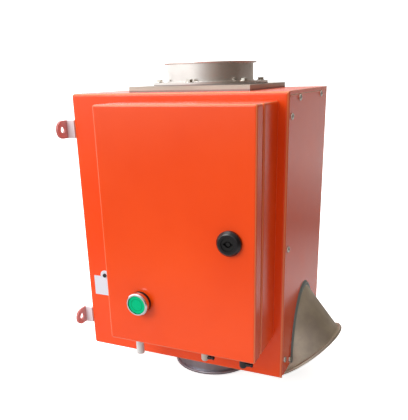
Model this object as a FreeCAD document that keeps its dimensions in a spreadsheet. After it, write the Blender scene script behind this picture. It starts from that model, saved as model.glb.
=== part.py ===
"""Free-fall metal separator: housing with coil, scan tube, reject flap and air cylinder, and a control box.

The product axis is the Z axis. Z = 0 is the underside of the housing, the control box faces -Y, and the
reject chute leaves towards +X. All sizes are in millimetres, angles in degrees.
"""
import math
import os
import re

import FreeCAD
import Part
import Sketcher

DIMENSIONS = {
    # housing
    "housing_left": 158, "housing_right": 142, "housing_front": 110, "housing_back": 102,
    "housing_height": 372, "housing_sheet": 2, "housing_bend": 4, "side_flange": 18,
    "cover_rim": 4.5, "cover_sheet": 2, "cover_gap": 0.3, "cover_corner": 7,
    "cover_end_z": 23, "cover_top_y": 60, "cover_foot_out": 10, "cover_foot_z": 9.5, "cover_screw_in": 9,
    "cover_screw_r": 2.6, "cover_hole_r": 2.8, "cover_head_r": 4.0, "cover_head_tall": 2.4,
    # spigots, one tube size for all three
    "tube_r": 59.5, "tube_wall": 1.5, "lip_proud": 4.5, "lip_tall": 4, "inlet_lip_tall": 2,
    "lip_round": 0.9,
    "inlet_rise": 36, "outlet_drop": 47.5,
    "base_wide": 170, "base_deep": 160, "base_thick": 5, "base_gasket": 2,
    "flange_rim": 8.5, "flange_thick": 2.5, "flange_gasket": 1.5, "bolt_out": 11.5, "bolt_count": 6,
    "bolt_first": 30, "bolt_r": 2.5, "bolt_hole_r": 2.75, "bolt_head_r": 4.6, "bolt_head_tall": 3.5,
    "bolt_nut_tall": 4,
    # scan tube and coil
    "scan_step": 0.5, "scan_wall": 3, "scan_flange_thick": 8, "duct_head": 7, "coil_over": 23,
    "coil_under": 38,
    "coil_wider": 6, "coil_spare": 0.9, "coil_skin": 4, "coil_bore_gap": 0.6,
    "former_wall": 3, "former_rim": 10, "winding_tall": 10,
    "rail_leg": 30, "rail_thick": 3, "rail_out": 14, "coil_screw_r": 3, "coil_screw_in": 20,
    # diverter
    "duct_clear": 2, "duct_wall": 1.5, "duct_plate": 3, "foot_out": 14.5, "foot_thick": 3,
    "foot_screw_r": 3, "foot_screw_in": 7, "chute_angle": 51, "chute_rise": 7.5, "chute_length": 240,
    "chute_flange": 3, "chute_flange_side": 8.5, "chute_flange_rim": 17.4, "chute_gap": 1.5,
    "chute_screw_r": 2, "seal_wide": 1.4, "seal_thick": 2.5, "fit_gap": 0.3,
    # flap and its drive
    "pivot_in": 8, "pivot_z": 18, "shaft_r": 5, "hub_r": 7.4, "flap_thick": 3, "flap_offset": 3.5,
    "flap_gap": 1.5, "run_gap": 0.05, "flap_swing": 40,
    "bearing_left": 18, "bearing_right": 4, "bearing_high": 22, "bearing_neck_r": 7.8, "bearing_flange": 4,
    "bearing_long": 11,
    "bearing_screw_r": 2, "bearing_screw_in": 13, "shaft_past_lever": 7, "shaft_past_duct": 13.5,
    "lever_out": 19.5, "lever_thick": 5, "lever_hub_r": 9, "lever_hub_long": 10, "lever_reach": 34,
    "lever_tip_r": 7.5, "slot_half": 3.4, "slot_below": 1, "slot_spread": 4.5, "pin_r": 3, "pin_long": 16,
    "fork_wide": 14, "fork_tall": 13, "fork_slot": 6, "fork_slot_deep": 12.5, "fork_long": 30,
    "fork_nose": 8, "rod_r": 3,
    "rod_in_fork": 8, "nose_nut_r": 13.8, "nose_nut_tall": 5, "nose_r": 8, "nose_long": 12, "cap_r": 10.5,
    "cap_long": 16, "barrel_r": 8.9,
    "barrel_bore_r": 8.05, "barrel_long": 70, "cap_spigot": 6, "port_r": 2.5, "port_deep": 5,
    "piston_long": 8, "piston_back": 4, "tail_long": 14, "tail_thick": 8,
    "bracket_x": -2, "bracket_thick": 3, "bracket_half": 13, "bracket_foot": 26,
    # control box and door
    "box_left": 73.5, "box_right": 129.5, "box_low": 60, "box_under_top": 10, "box_proud": 77,
    "door_deep": 18, "door_gap": 7.5, "box_sheet": 1.5, "box_corner": 3, "door_edge": 3,
    "neck_inset": 6, "neck_front": 7, "neck_lip": 8, "gasket_in": 4, "gasket_wide": 12, "gasket_gap": 0.3,
    "box_screw_in": 12, "box_screw_r": 2.5,
    "hinge_in": 2.9, "hinge_back": 2.8, "knuckle_r": 2.8, "hinge_pin_r": 1.25, "hinge_tall": 36,
    "hinge_door_tall": 12, "hinge_from_end": 35, "knuckle_gap": 0.2, "leaf_thick": 1.5,
    "leaf_in": 0.5, "leaf_behind": 2.2,
    "lock_x": 98, "lock_z": 210, "lock_r": 15, "lock_proud": 7, "lock_barrel_r": 10.9, "lock_insert_r": 8.4,
    "lock_deep": 8, "lock_sunk": 1.2, "slot_deep": 4, "slot_reach": 6.6, "slot_tall": 2.4,
    "slot_round_r": 3.9, "slot_pin_r": 2.4, "stem_r": 5,
    "stem_long": 6, "cam_from": 9.5, "lock_bore_r": 8.5, "lock_nut_r": 15.5, "lock_nut_tall": 5,
    "cam_long": 20, "cam_wide": 14, "cam_thick": 3,
    "button_x": -23.5, "button_z": 119.5, "button_r": 14.9, "button_proud": 12, "button_barrel_r": 10.9,
    "button_bore_r": 10.2, "lens_r": 10.15, "lens_sunk": 1, "lens_head": 1.6, "lens_head_r": 12.1,
    "head_bore_r": 12.3, "button_deep": 22, "button_seal": 5,
    "button_travel": 3, "button_nut_tall": 4,
    "block_wide": 30, "block_deep": 24,
    # inside the control box
    "plate_margin": 19, "plate_thick": 2, "spacer_tall": 4, "spacer_r": 5,
    "grommet_x": 85, "grommet_z": 71, "grommet_r": 5.5,
    "unit_half": 50, "unit_low": 150, "unit_under": 32, "unit_deep": 32, "supply_low_x": 62,
    "supply_high_x": 104,
    "supply_deep": 45, "supply_tall": 90, "terminal_x": 2, "terminal_pitch": 5.5, "terminal_deep": 30,
    "terminal_half": 21, "valve_x": 40, "valve_wide": 22, "valve_deep": 30, "valve_tall": 20,
    "din_low_x": -20, "din_high_x": 37, "rail_z": 103, "din_wide": 35, "din_deep": 7.5, "din_sheet": 1,
    # brackets on the left side
    "lug_from_end": 46.5, "lug_r": 12, "lug_hole_r": 4.5, "lug_stand": 15, "lug_sheet": 3,
    "lug_reach": 9, "lug_screw_r": 3,
    # tag
    "tag_x": -128, "tag_low": 84, "tag_high": 113.5, "tag_half": 19, "tag_thick": 1, "tag_eye_z": 115.5,
    "tag_eye_r": 7.5, "tag_screw_r": 1.6,
    # entries under the control box
    "entry_y": -148, "gland_x": -52.5, "elbow_x": 47, "elbow_two_x": 101, "entry_r": 6, "entry_drop": 36,
    "gland_r": 9.5, "gland_end_r": 5.5, "elbow_r": 5, "elbow_long": 30.5, "elbow_arm_r": 3.4,
    "elbow_arm_long": 15.5,
    "elbow_drop": 25,
}

# Sizes that follow from the ones above, because the pieces fit round, inside or on each other.
DERIVED = {
    "lip_r": "tube_r+lip_proud",
    "bolt_circle": "tube_r+bolt_out",
    "flange_r": "bolt_circle+flange_rim",
    "cover_foot_y": "tube_r+cover_foot_out",
    "duct_half": "tube_r-tube_wall+duct_clear",
    "foot_half": "duct_half+duct_wall+foot_out",
    "chute_flange_half": "duct_half+duct_wall+chute_flange_side",
    "chute_cross": "(duct_half+duct_wall)*tan(chute_angle)+tube_r/cos(chute_angle)+chute_rise",
    "chute_flange_top": "2*tube_r/cos(chute_angle)+chute_rise+chute_flange_rim",
    "duct_top": "chute_flange_top+duct_head",
    "coil_low": "duct_top+coil_over",
    "coil_tall": "housing_height-coil_under-coil_low",
    "coil_half_deep": "tube_r-tube_wall+scan_step+scan_wall+coil_bore_gap"
                      "+former_wall+former_rim+coil_skin+coil_spare",
    "coil_half_wide": "coil_half_deep+coil_wider",
    "coil_screw_y": "coil_half_deep-coil_screw_in",
    "rail_outside": "coil_half_wide+rail_out",
    "pivot_x": "duct_half-pivot_in",
    "flap_half": "duct_half-flap_gap",
    "flap_tall": "(pivot_x+flap_offset*cos(flap_swing)+duct_half-flap_gap)/sin(flap_swing)",
    "lever_y": "duct_half+duct_wall+lever_out",
    "shaft_front": "lever_y+shaft_past_lever",
    "shaft_back": "duct_half+duct_wall+shaft_past_duct",
    "box_high": "housing_height-box_under_top",
    "unit_high": "box_high-unit_under",
}

CELL_NAME = re.compile(r"[a-z]+(?:_[a-z0-9]+)+")

doc = FreeCAD.newDocument("metal_separator")
sheet = doc.addObject("Spreadsheet::Sheet", "Dims")
for row, (alias, value) in enumerate(DIMENSIONS.items(), start=1):
    sheet.set(f"A{row}", alias)
    sheet.set(f"B{row}", str(value))
    sheet.setAlias(f"B{row}", alias)
doc.recompute()

nodes = []


def formula(text):
    """The text with every size name turned into its cell of the sheet, or into what it follows from."""
    def cell(found):
        name = found.group()
        return f"({formula(DERIVED[name])})" if name in DERIVED else "Dims." + name
    return CELL_NAME.sub(cell, str(text))


def size(alias):
    """The number in one cell, for shapes that are made directly."""
    return float(sheet.get(alias))


def bind(thing, **formulas):
    """Ties properties to the sheet. Double underscores in a name stand for dots."""
    for name, text in formulas.items():
        thing.setExpression(name.replace("__", "."), formula(text))
    return thing


def move(thing, x="0", y="0", z="0"):
    return bind(thing, Placement__Base__x=x, Placement__Base__y=y, Placement__Base__z=z)


def turn_to(thing, axis):
    """Turns a thing made along Z so that it runs along +X, -Y or +Z."""
    turns = {"x": (FreeCAD.Vector(0, 1, 0), 90), "y": (FreeCAD.Vector(1, 0, 0), 90)}
    if axis in turns:
        thing.Placement = FreeCAD.Placement(FreeCAD.Vector(), FreeCAD.Rotation(*turns[axis]))
    return thing


def keep(thing, label):
    """Marks a finished sub-part, which is written to a file named after its label."""
    thing.Label = label
    nodes.append(thing)
    return thing


# Part primitives

def block(name, x, y, z):
    """A box between two formulas on each axis."""
    thing = doc.addObject("Part::Box", name)
    bind(thing, Length=f"({x[1]})-({x[0]})", Width=f"({y[1]})-({y[0]})", Height=f"({z[1]})-({z[0]})")
    return move(thing, x[0], y[0], z[0])


def rod(name, radius, length, x="0", y="0", z="0", axis="z"):
    """A cylinder from its start point along +X, -Y or +Z."""
    thing = turn_to(doc.addObject("Part::Cylinder", name), axis)
    bind(thing, Radius=radius, Height=length)
    return move(thing, x, y, z)


def hexagon(name, corner_r, length, x="0", y="0", z="0", axis="z"):
    thing = turn_to(doc.addObject("Part::Prism", name), axis)
    thing.Polygon = 6
    bind(thing, Circumradius=corner_r, Height=length)
    return move(thing, x, y, z)


def fuse(name, *parts):
    thing = doc.addObject("Part::MultiFuse", name)
    thing.Shapes = list(parts)
    return thing


def cut(name, base, *tools):
    thing = doc.addObject("Part::Cut", name)
    thing.Base = base
    thing.Tool = tools[0] if len(tools) == 1 else group(name + "_tools", *tools)
    return thing


def group(name, *parts):
    thing = doc.addObject("Part::Compound", name)
    thing.Links = list(parts)
    return thing


def tilted_rod(name, radius, start, length):
    """A cylinder on the reject chute's axis, from a distance along it."""
    thing = doc.addObject("Part::Cylinder", name)
    thing.Placement = FreeCAD.Placement(FreeCAD.Vector(), FreeCAD.Rotation(FreeCAD.Vector(0, 1, 0), 90))
    bind(thing, Radius=radius, Height=length, Placement__Rotation__Angle="90+chute_angle")
    return move(thing, f"({start})*cos(chute_angle)", "0", f"chute_cross-({start})*sin(chute_angle)")


def screws(name, places, head_r, head_tall, shank_r, shank_long, axis):
    """Round-headed screws whose heads stand out along the axis, +X, -Y or +Z."""
    made = []
    for number, (x, y, z) in enumerate(places):
        head = rod(f"{name}_head{number}", head_r, head_tall, x, y, z, axis)
        back = {"x": (f"({x})-({shank_long})", y, z), "y": (x, f"({y})+({shank_long})", z),
                "z": (x, y, f"({z})-({shank_long})")}[axis]
        shank = rod(f"{name}_shank{number}", shank_r, shank_long, *back, axis)
        made.append(fuse(f"{name}_{number}", head, shank))
    return group(name, *made)


def drills(name, places, radius, start, length, axis):
    """Holes for screws: one cylinder per place, shifted along the axis by start."""
    made = []
    for number, (x, y, z) in enumerate(places):
        at = {"x": (f"({x})+({start})", y, z), "y": (x, f"({y})-({start})", z),
              "z": (x, y, f"({z})+({start})")}[axis]
        made.append(rod(f"{name}_{number}", radius, length, *at, axis))
    return group(name, *made)


# PartDesign features

def new_body(name):
    return doc.addObject("PartDesign::Body", name)


def outline(body, name, role, points=(), circles=(), offset="0"):
    """A sketch on one of the body's origin planes: a closed run of corners, and circles (x, y, r)."""
    sketch = body.newObject("Sketcher::SketchObject", name)
    plane = [item for item in body.Origin.OriginFeatures if item.Role == role][0]
    sketch.AttachmentSupport = [(plane, "")]
    sketch.MapMode = "FlatFace"
    bind(sketch, AttachmentOffset__Base__z=offset)
    count = len(points)
    turns = [2 * math.pi * i / count for i in range(count)]
    start = [FreeCAD.Vector(math.cos(turn), math.sin(turn), 0) for turn in turns]
    for i in range(count):
        sketch.addGeometry(Part.LineSegment(start[i], start[(i + 1) % count]), False)
    for i in range(count):
        sketch.addConstraint(Sketcher.Constraint("Coincident", i, 2, (i + 1) % count, 1))
    for i, pair in enumerate(points):
        for kind, text, value in zip(("DistanceX", "DistanceY"), pair, start[i]):
            number = sketch.addConstraint(Sketcher.Constraint(kind, -1, 1, i, 1, value))
            sketch.setExpression(f"Constraints[{number}]", formula(text))
    for x, y, radius in circles:
        place = FreeCAD.Vector(1, 1, 0)
        circle = sketch.addGeometry(Part.Circle(place, FreeCAD.Vector(0, 0, 1), 1), False)
        for kind, text in (("DistanceX", x), ("DistanceY", y)):
            number = sketch.addConstraint(Sketcher.Constraint(kind, -1, 1, circle, 3, 1))
            sketch.setExpression(f"Constraints[{number}]", formula(text))
        number = sketch.addConstraint(Sketcher.Constraint("Radius", circle, 1))
        sketch.setExpression(f"Constraints[{number}]", formula(radius))
    return sketch


def pad(body, name, sketch, length, other_way=False):
    feature = body.newObject("PartDesign::Pad", name)
    feature.Profile = sketch
    feature.Reversed = other_way
    return bind(feature, Length=length)


def revolve(body, name, points):
    """A full turn of a profile of (radius, height) corners about the body's Z axis."""
    sketch = outline(body, name + "_profile", "XZ_Plane", points)
    feature = body.newObject("PartDesign::Revolution", name)
    feature.Profile = sketch
    feature.ReferenceAxis = (sketch, ["V_Axis"])
    feature.Angle = 360
    return feature


def brick(body, kind, name, x, y, z):
    """An additive or subtractive box of a body, between two formulas on each axis."""
    feature = body.newObject(f"PartDesign::{kind}Box", name)
    bind(feature, Length=f"({x[1]})-({x[0]})", Width=f"({y[1]})-({y[0]})", Height=f"({z[1]})-({z[0]})")
    return move(feature, x[0], y[0], z[0])


def bore(body, name, radius, length, x="0", y="0", z="0", axis="z"):
    feature = turn_to(body.newObject("PartDesign::SubtractiveCylinder", name), axis)
    bind(feature, Radius=radius, Height=length)
    return move(feature, x, y, z)


def round_edges(body, name, radius, chosen, kind="Fillet"):
    """Rounds or bevels the edges of the body's last feature that the test picks by their end points."""
    doc.recompute()
    base = body.Tip
    names = [f"Edge{number}" for number, edge in enumerate(base.Shape.Edges, start=1) if chosen(edge)]
    feature = body.newObject(f"PartDesign::{kind}", name)
    feature.Base = (base, names)
    return bind(feature, **{"Radius" if kind == "Fillet" else "Size": radius})


def along(edge, axis):
    """True for a straight edge along an axis."""
    if not isinstance(edge.Curve, Part.Line):
        return False
    direction = edge.Curve.Direction
    return abs(abs(getattr(direction, axis)) - 1) < 1e-6


def at(edge, axis, value):
    """True for an edge that lies in one plane across an axis."""
    low, high = getattr(edge.BoundBox, axis.upper() + "Min"), getattr(edge.BoundBox, axis.upper() + "Max")
    return abs(low - value) < 1e-4 and abs(high - value) < 1e-4


# Places that several sub-parts share, as formulas

LEFT, RIGHT = "-housing_left", "housing_right"
FRONT, BACK, TOP = "-housing_front", "housing_back", "housing_height"
BASE_Z = f"{TOP}+base_gasket"
BASE_TOP = f"{BASE_Z}+base_thick"
FLANGE_Z = f"{BASE_TOP}+flange_gasket"
FLANGE_TOP = f"{FLANGE_Z}+flange_thick"
INLET_TOP = f"{TOP}+inlet_rise"
TUBE_BORE = "tube_r-tube_wall"
SCAN_BORE = f"{TUBE_BORE}+scan_step"
SCAN_R = f"{SCAN_BORE}+scan_wall"
COIL_BORE = f"{SCAN_R}+coil_bore_gap"
COIL_TOP = "coil_low+coil_tall"
DUCT_OUT = "duct_half+duct_wall"
FOOT_LOW = f"housing_sheet+foot_thick"
FOOT_TOP = f"{FOOT_LOW}+foot_thick"
ROD_Z = "pivot_z+lever_reach"
ROD_Y = "-lever_y"
PIN_X = "pivot_x+lever_reach*tan(flap_swing/2)"
BOX_FRONT = f"{FRONT}-box_proud"
DOOR_BACK = f"{BOX_FRONT}+door_deep"
SHOULDER = f"{DOOR_BACK}+door_gap"
DOOR_IN = f"{BOX_FRONT}+box_sheet"
NECK_FRONT = f"{BOX_FRONT}+neck_front"
PLATE_FRONT = f"{FRONT}-box_sheet-spacer_tall-plate_thick"
HINGE_X, HINGE_Y = "-box_left+hinge_in", f"{DOOR_BACK}+hinge_back"
HINGE_HEIGHTS = ("box_low+hinge_from_end", "box_high-hinge_from_end")
BOLTS = [(f"bolt_circle*cos(bolt_first+{i}*360/bolt_count)",
          f"bolt_circle*sin(bolt_first+{i}*360/bolt_count)")
         for i in range(int(size("bolt_count")))]


def bolt_holes(body, name, low, high):
    """Six holes on the flange's bolt circle, from a circle sketch and a pad's opposite."""
    sketch = outline(body, name + "_circles", "XY_Plane",
                     circles=[(x, y, "bolt_hole_r") for x, y in BOLTS], offset=high)
    feature = body.newObject("PartDesign::Pocket", name)
    feature.Profile = sketch
    return bind(feature, Length=f"({high})-({low})")


# Housing

def housing_shell():
    """Folded box, open on the right where the side cover goes, with holes for the product tubes."""
    body = new_body("shell_body")
    brick(body, "Additive", "outer", (LEFT, RIGHT), (FRONT, BACK), ("0", TOP))
    front_y, left_x = -size("housing_front"), -size("housing_left")
    round_edges(body, "bends", "housing_bend",
                lambda edge: at(edge, "y", front_y) or (at(edge, "x", left_x) and not along(edge, "z")))
    brick(body, "Subtractive", "inside", (f"{LEFT}+housing_sheet", f"{RIGHT}-cover_sheet-housing_sheet"),
          (f"{FRONT}+housing_sheet", f"{BACK}-housing_sheet"), ("housing_sheet", f"{TOP}-housing_sheet"))
    brick(body, "Subtractive", "cover_seat", (f"{RIGHT}-cover_sheet", f"{RIGHT}+1"),
          (f"{FRONT}+cover_rim", f"{BACK}-cover_rim"), ("-1", f"{TOP}-cover_rim"))
    brick(body, "Subtractive", "side_opening", (f"{RIGHT}-cover_sheet-housing_sheet-1", f"{RIGHT}+1"),
          (f"{FRONT}+side_flange", f"{BACK}-side_flange"), ("side_flange", f"{TOP}-side_flange"))
    bore(body, "inlet_hole", SCAN_BORE, "housing_sheet+2", z=f"{TOP}-housing_sheet-1")
    bore(body, "outlet_hole", "tube_r+fit_gap", "housing_sheet+2", z="-1")
    bolt_holes(body, "inlet_bolt_holes", f"{TOP}-housing_sheet-1", f"{TOP}+1")
    bore(body, "cable_hole", "grommet_r", "housing_sheet+2", x="grommet_x", y=f"{FRONT}+housing_sheet+1",
         z="grommet_z", axis="y")
    return cut_for_chute("shell_chute", body)


def cut_for_chute(name, base):
    way = tilted_rod(name + "_way", "tube_r+chute_gap", "0", "chute_length+lip_r*2")
    return cut(name, base, way)


def side_cover():
    """Flat cover with round corners in its seat, cut out at the bottom for the reject chute."""
    body = new_body("side_plate")
    low_y, high_y = f"{FRONT}+cover_rim+cover_gap", f"{BACK}-cover_rim-cover_gap"
    low_z, high_z = "cover_gap", f"{TOP}-cover_rim-cover_gap"
    shape = outline(body, "side_outline", "YZ_Plane",
                    [(low_y, low_z), (high_y, low_z), (high_y, high_z), (low_y, high_z)],
                    offset=f"{RIGHT}-cover_sheet")
    pad(body, "side_sheet", shape, "cover_sheet")
    round_edges(body, "side_corners", "cover_corner", lambda edge: along(edge, "x"))
    holes = outline(body, "side_holes", "YZ_Plane",
                    circles=[(y, z, "cover_hole_r") for _, y, z in COVER_SCREWS], offset=RIGHT)
    pocket = body.newObject("PartDesign::Pocket", "side_drilling")
    pocket.Profile = holes
    bind(pocket, Length="cover_sheet")
    return keep(cut_for_chute("side_chute", body), "side_cover")


COVER_FRONT_Y = f"{FRONT}+cover_rim+cover_screw_in"
COVER_TOP_Z = f"{TOP}-cover_rim-cover_screw_in/2"
COVER_SCREWS = [(RIGHT, COVER_FRONT_Y, z)
                for z in ("cover_end_z", f"{TOP}/2-cover_end_z/4", f"{TOP}-cover_end_z*1.25")]
COVER_SCREWS += [(RIGHT, y, COVER_TOP_Z) for y in ("-cover_top_y", "cover_top_y")]
COVER_SCREWS += [(RIGHT, y, "cover_foot_z") for y in ("-cover_foot_y", "cover_foot_y")]


def stadium(name, x, y, z, radius):
    """A slab along X with two round ends, between two centres along Y."""
    middle = block(name + "_middle", x, y, (f"({z})-({radius})", f"({z})+({radius})"))
    ends = [rod(f"{name}_end{i}", radius, f"({x[1]})-({x[0]})", x[0], place, z, "x") for i,
            place in enumerate(y)]
    return fuse(name, middle, *ends)


def wall_bracket(label, z):
    """Strap over the left side, cranked out at both ends into a round lug parallel to the wall."""
    heights = (f"{z}-lug_r", f"{z}+lug_r")
    wall = f"{LEFT}-lug_stand"
    parts = [block(label + "_foot", (f"{LEFT}-lug_sheet", LEFT), (FRONT, BACK), heights)]
    ends = ((FRONT, f"{FRONT}+lug_sheet", f"{FRONT}-lug_reach"), (f"{BACK}-lug_sheet", BACK,
        f"{BACK}+lug_reach"))
    for i, (low, high, hole_y) in enumerate(ends):
        parts.append(block(f"{label}_web{i}", (wall, LEFT), (low, high), heights))
        reach = (f"{hole_y}-lug_r", high) if i == 0 else (low, f"{hole_y}+lug_r")
        parts.append(block(f"{label}_lug{i}", (wall, f"{wall}+lug_sheet"), reach, heights))
    strap = fuse(label + "_strap", *parts)
    around = stadium(label + "_around", (wall, LEFT), (ends[0][2], ends[1][2]), z, "lug_r")
    rounded = doc.addObject("Part::MultiCommon", label + "_rounded")
    rounded.Shapes = [strap, around]
    holes = [rod(f"{label}_hole{i}", "lug_hole_r", "lug_stand", wall, end[2], z, "x")
             for i, end in enumerate(ends)]
    holes.append(drills(label + "_screw_holes", [(f"{LEFT}-lug_sheet", y, z) for y in LUG_SCREW_Y],
                        "lug_screw_r", "-1", "lug_sheet+2", "x"))
    return cut(label, rounded, *holes)


LUG_HEIGHTS = ("lug_from_end", f"{TOP}-lug_from_end")
LUG_SCREW_Y = (f"{FRONT}*2/3", f"{BACK}*2/3")


def side_screws(name, places):
    """Screws whose heads face -X."""
    made = []
    for number, (x, y, z) in enumerate(places):
        head = rod(f"{name}_head{number}", "lug_screw_r*1.8", "cover_head_tall", f"{x}-cover_head_tall", y,
                   z, "x")
        shank = rod(f"{name}_shank{number}", "lug_screw_r", "lug_sheet+housing_sheet", x, y, z, "x")
        made.append(fuse(f"{name}_{number}", head, shank))
    return group(name, *made)


# Inlet

def ring_plate(name, low, thick, outer=None, wide=None, deep=None, hole=TUBE_BORE):
    """Round or rectangular plate with the product hole and the bolt circle."""
    body = new_body(name)
    if outer:
        shape = outline(body, name + "_outline", "XY_Plane", circles=[("0", "0", outer)], offset=low)
    else:
        corners = [(f"-{wide}/2", f"-{deep}/2"), (f"{wide}/2", f"-{deep}/2"),
                   (f"{wide}/2", f"{deep}/2"), (f"-{wide}/2", f"{deep}/2")]
        shape = outline(body, name + "_outline", "XY_Plane", corners, offset=low)
    pad(body, name + "_sheet", shape, thick)
    bore(body, name + "_bore", hole, f"{thick}+2", z=f"{low}-1")
    bolt_holes(body, name + "_bolt_holes", f"{low}-1", f"{low}+{thick}+1")
    return body


def lipped_tube(body, name, low, high, lip_at_top, tall="lip_tall"):
    """Profile of a tube whose one end is rolled outwards into the lip that the pull ring grips."""
    if lip_at_top:
        corners = [(TUBE_BORE, low), ("tube_r", low), ("tube_r", f"{high}-{tall}"),
                   ("lip_r", f"{high}-{tall}"), ("lip_r", high), (TUBE_BORE, high)]
    else:
        corners = [(TUBE_BORE, high), ("tube_r", high), ("tube_r", f"{low}+{tall}"),
                   ("lip_r", f"{low}+{tall}"), ("lip_r", low), (TUBE_BORE, low)]
    revolve(body, name, corners)
    lip = size("tube_r") + size("lip_proud")
    round_edges(body, name + "_roll", "lip_round",
                lambda edge: isinstance(edge.Curve, Part.Circle) and abs(edge.Curve.Radius - lip) < 1e-4)


def inlet_spigot():
    body = new_body("inlet_spigot")
    lipped_tube(body, "inlet_tube", BASE_Z, INLET_TOP, True, "inlet_lip_tall")
    ring = outline(body, "inlet_flange_outline", "XY_Plane",
                   circles=[("0", "0", "flange_r"), ("0", "0", TUBE_BORE)], offset=FLANGE_Z)
    pad(body, "inlet_flange", ring, "flange_thick")
    bolt_holes(body, "inlet_flange_holes", f"{FLANGE_Z}-1", f"{FLANGE_TOP}+1")
    return keep(body, "inlet_spigot")


def scan_tube():
    """Plastic tube through the coil, hung from its collar under the housing's top."""
    body = new_body("scan_tube")
    under = f"{TOP}-housing_sheet"
    revolve(body, "scan_wall_turn",
            [(SCAN_BORE, "duct_top-duct_plate"), (SCAN_R, "duct_top-duct_plate"),
             (SCAN_R, f"{under}-scan_flange_thick"), ("flange_r", f"{under}-scan_flange_thick"),
             ("flange_r", under), (SCAN_BORE, under)])
    bolt_holes(body, "scan_bolt_holes", f"{under}-scan_flange_thick-1", f"{under}+1")
    return keep(body, "scan_tube")


def inlet_bolts():
    """Hexagon bolts through flange, base plate, housing and collar, with their nuts."""
    nut_z = f"{TOP}-housing_sheet-scan_flange_thick-bolt_nut_tall"
    made = []
    for i, (x, y) in enumerate(BOLTS):
        head = hexagon(f"bolt_head{i}", "bolt_head_r", "bolt_head_tall", x, y, FLANGE_TOP)
        shank = rod(f"bolt_shank{i}", "bolt_r", f"{FLANGE_TOP}-({nut_z})+2", x, y, f"{nut_z}-2")
        made.append(fuse(f"bolt{i}", head, shank))
        nut = hexagon(f"nut_outside{i}", "bolt_head_r", "bolt_nut_tall", x, y, nut_z)
        made.append(cut(f"nut{i}", nut, rod(f"nut_bore{i}", "bolt_r", "bolt_nut_tall", x, y, nut_z)))
    return keep(group("inlet_bolts", *made), "inlet_bolts")


# Coil

def coil():
    half_x, half_y = ("-coil_half_wide", "coil_half_wide"), ("-coil_half_deep", "coil_half_deep")
    lid_z = f"{COIL_TOP}-coil_skin"
    tray = new_body("coil_housing")
    brick(tray, "Additive", "tray_outside", half_x, half_y, ("coil_low", lid_z))
    round_edges(tray, "tray_corners", "coil_skin*2", lambda edge: along(edge, "z"))
    brick(tray, "Subtractive", "tray_inside", ("-coil_half_wide+coil_skin", "coil_half_wide-coil_skin"),
          ("-coil_half_deep+coil_skin", "coil_half_deep-coil_skin"), ("coil_low+coil_skin", lid_z))
    bore(tray, "tray_bore", COIL_BORE, "coil_skin+2", z="coil_low-1")
    for i, (x, y) in enumerate(COIL_SCREWS):
        bore(tray, f"tray_screw{i}", "coil_screw_r", "coil_skin", x, y, "coil_low")
    keep(tray, "coil_housing")
    lid = new_body("coil_lid")
    brick(lid, "Additive", "lid_outside", half_x, half_y, (lid_z, COIL_TOP))
    round_edges(lid, "lid_corners", "coil_skin*2", lambda edge: along(edge, "z"))
    bore(lid, "lid_bore", COIL_BORE, "coil_skin+2", z=f"{lid_z}-1")
    keep(lid, "coil_lid")
    spool = new_body("coil_former")
    low, pitch = "coil_low+coil_skin", "((coil_tall-2*coil_skin-former_wall)/3)"
    outer = f"{COIL_BORE}+former_wall"
    corners = [(COIL_BORE, low)]
    for i in range(4):
        rim_low = f"{low}+{pitch}*{i}"
        corners += [(f"{outer}+former_rim", rim_low), (f"{outer}+former_rim", f"{rim_low}+former_wall")]
        if i < 3:
            corners += [(outer, f"{rim_low}+former_wall"), (outer, f"{low}+{pitch}*{i + 1}")]
    corners.append((COIL_BORE, f"{low}+{pitch}*3+former_wall"))
    revolve(spool, "spool_turn", corners)
    keep(spool, "coil_former")
    rings = []
    for i in range(3):
        middle = f"{low}+{pitch}*{i}+({pitch}+former_wall)/2-winding_tall/2"
        outside = rod(f"winding_outside{i}", f"{outer}+former_rim*0.7", "winding_tall", z=middle)
        inside = rod(f"winding_inside{i}", outer, "winding_tall", z=middle)
        rings.append(cut(f"winding{i}", outside, inside))
    keep(group("coil_windings", *rings), "coil_windings")


COIL_SCREWS = [(f"{x}*(coil_half_wide-rail_thick*3)", f"{y}*coil_screw_y") for x in (-1, 1) for y in (-1,
    1)]


def coil_rails():
    """Two angles across the housing, from the front panel to the back, that carry the coil."""
    made = []
    depth = (f"{FRONT}+housing_sheet", f"{BACK}-housing_sheet")
    low = "coil_low-rail_thick"
    for side, sign in (("left", -1), ("right", 1)):
        if sign < 0:
            ends, edge = ("-rail_outside", "-rail_outside+rail_leg"), ("-rail_outside",
                "-rail_outside+rail_thick")
        else:
            ends, edge = ("rail_outside-rail_leg", "rail_outside"), ("rail_outside-rail_thick",
                "rail_outside")
        flat = block(f"rail_flat_{side}", ends, depth, (low, "coil_low"))
        upright = block(f"rail_upright_{side}", edge, depth, (low, f"{low}+rail_leg"))
        holes = [rod(f"rail_hole_{side}{i}", "coil_screw_r", "rail_thick", x, y, low)
                 for i, (x, y) in enumerate(COIL_SCREWS) if x.startswith(str(sign) + "*")]
        made.append(cut(f"rail_{side}", fuse(f"rail_angle_{side}", flat, upright), *holes))
    return keep(group("coil_rails", *made), "coil_rails")


# Diverter, outlet and reject chute

def foot_plate(name, low):
    """Plate round the product hole whose right edge is flush with the duct, under the chute."""
    return block(name, ("-foot_half", DUCT_OUT), ("-foot_half", "foot_half"), (low, f"{low}+foot_thick"))


FOOT_BOLTS = [("-foot_half+foot_screw_in", f"{y}*duct_half*2/3") for y in (-1, 1)]
FOOT_BOLTS += [("0", f"{y}*(foot_half-foot_screw_in)") for y in (-1, 1)]
CHUTE_BOLTS = [(f"{y}*(chute_flange_half-chute_screw_r*1.8)", f"chute_flange_top*({i}+0.9)/4.3")
               for y in (-1, 1) for i in range(4)]
CHUTE_FACE = f"{DUCT_OUT}+chute_flange"


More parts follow.
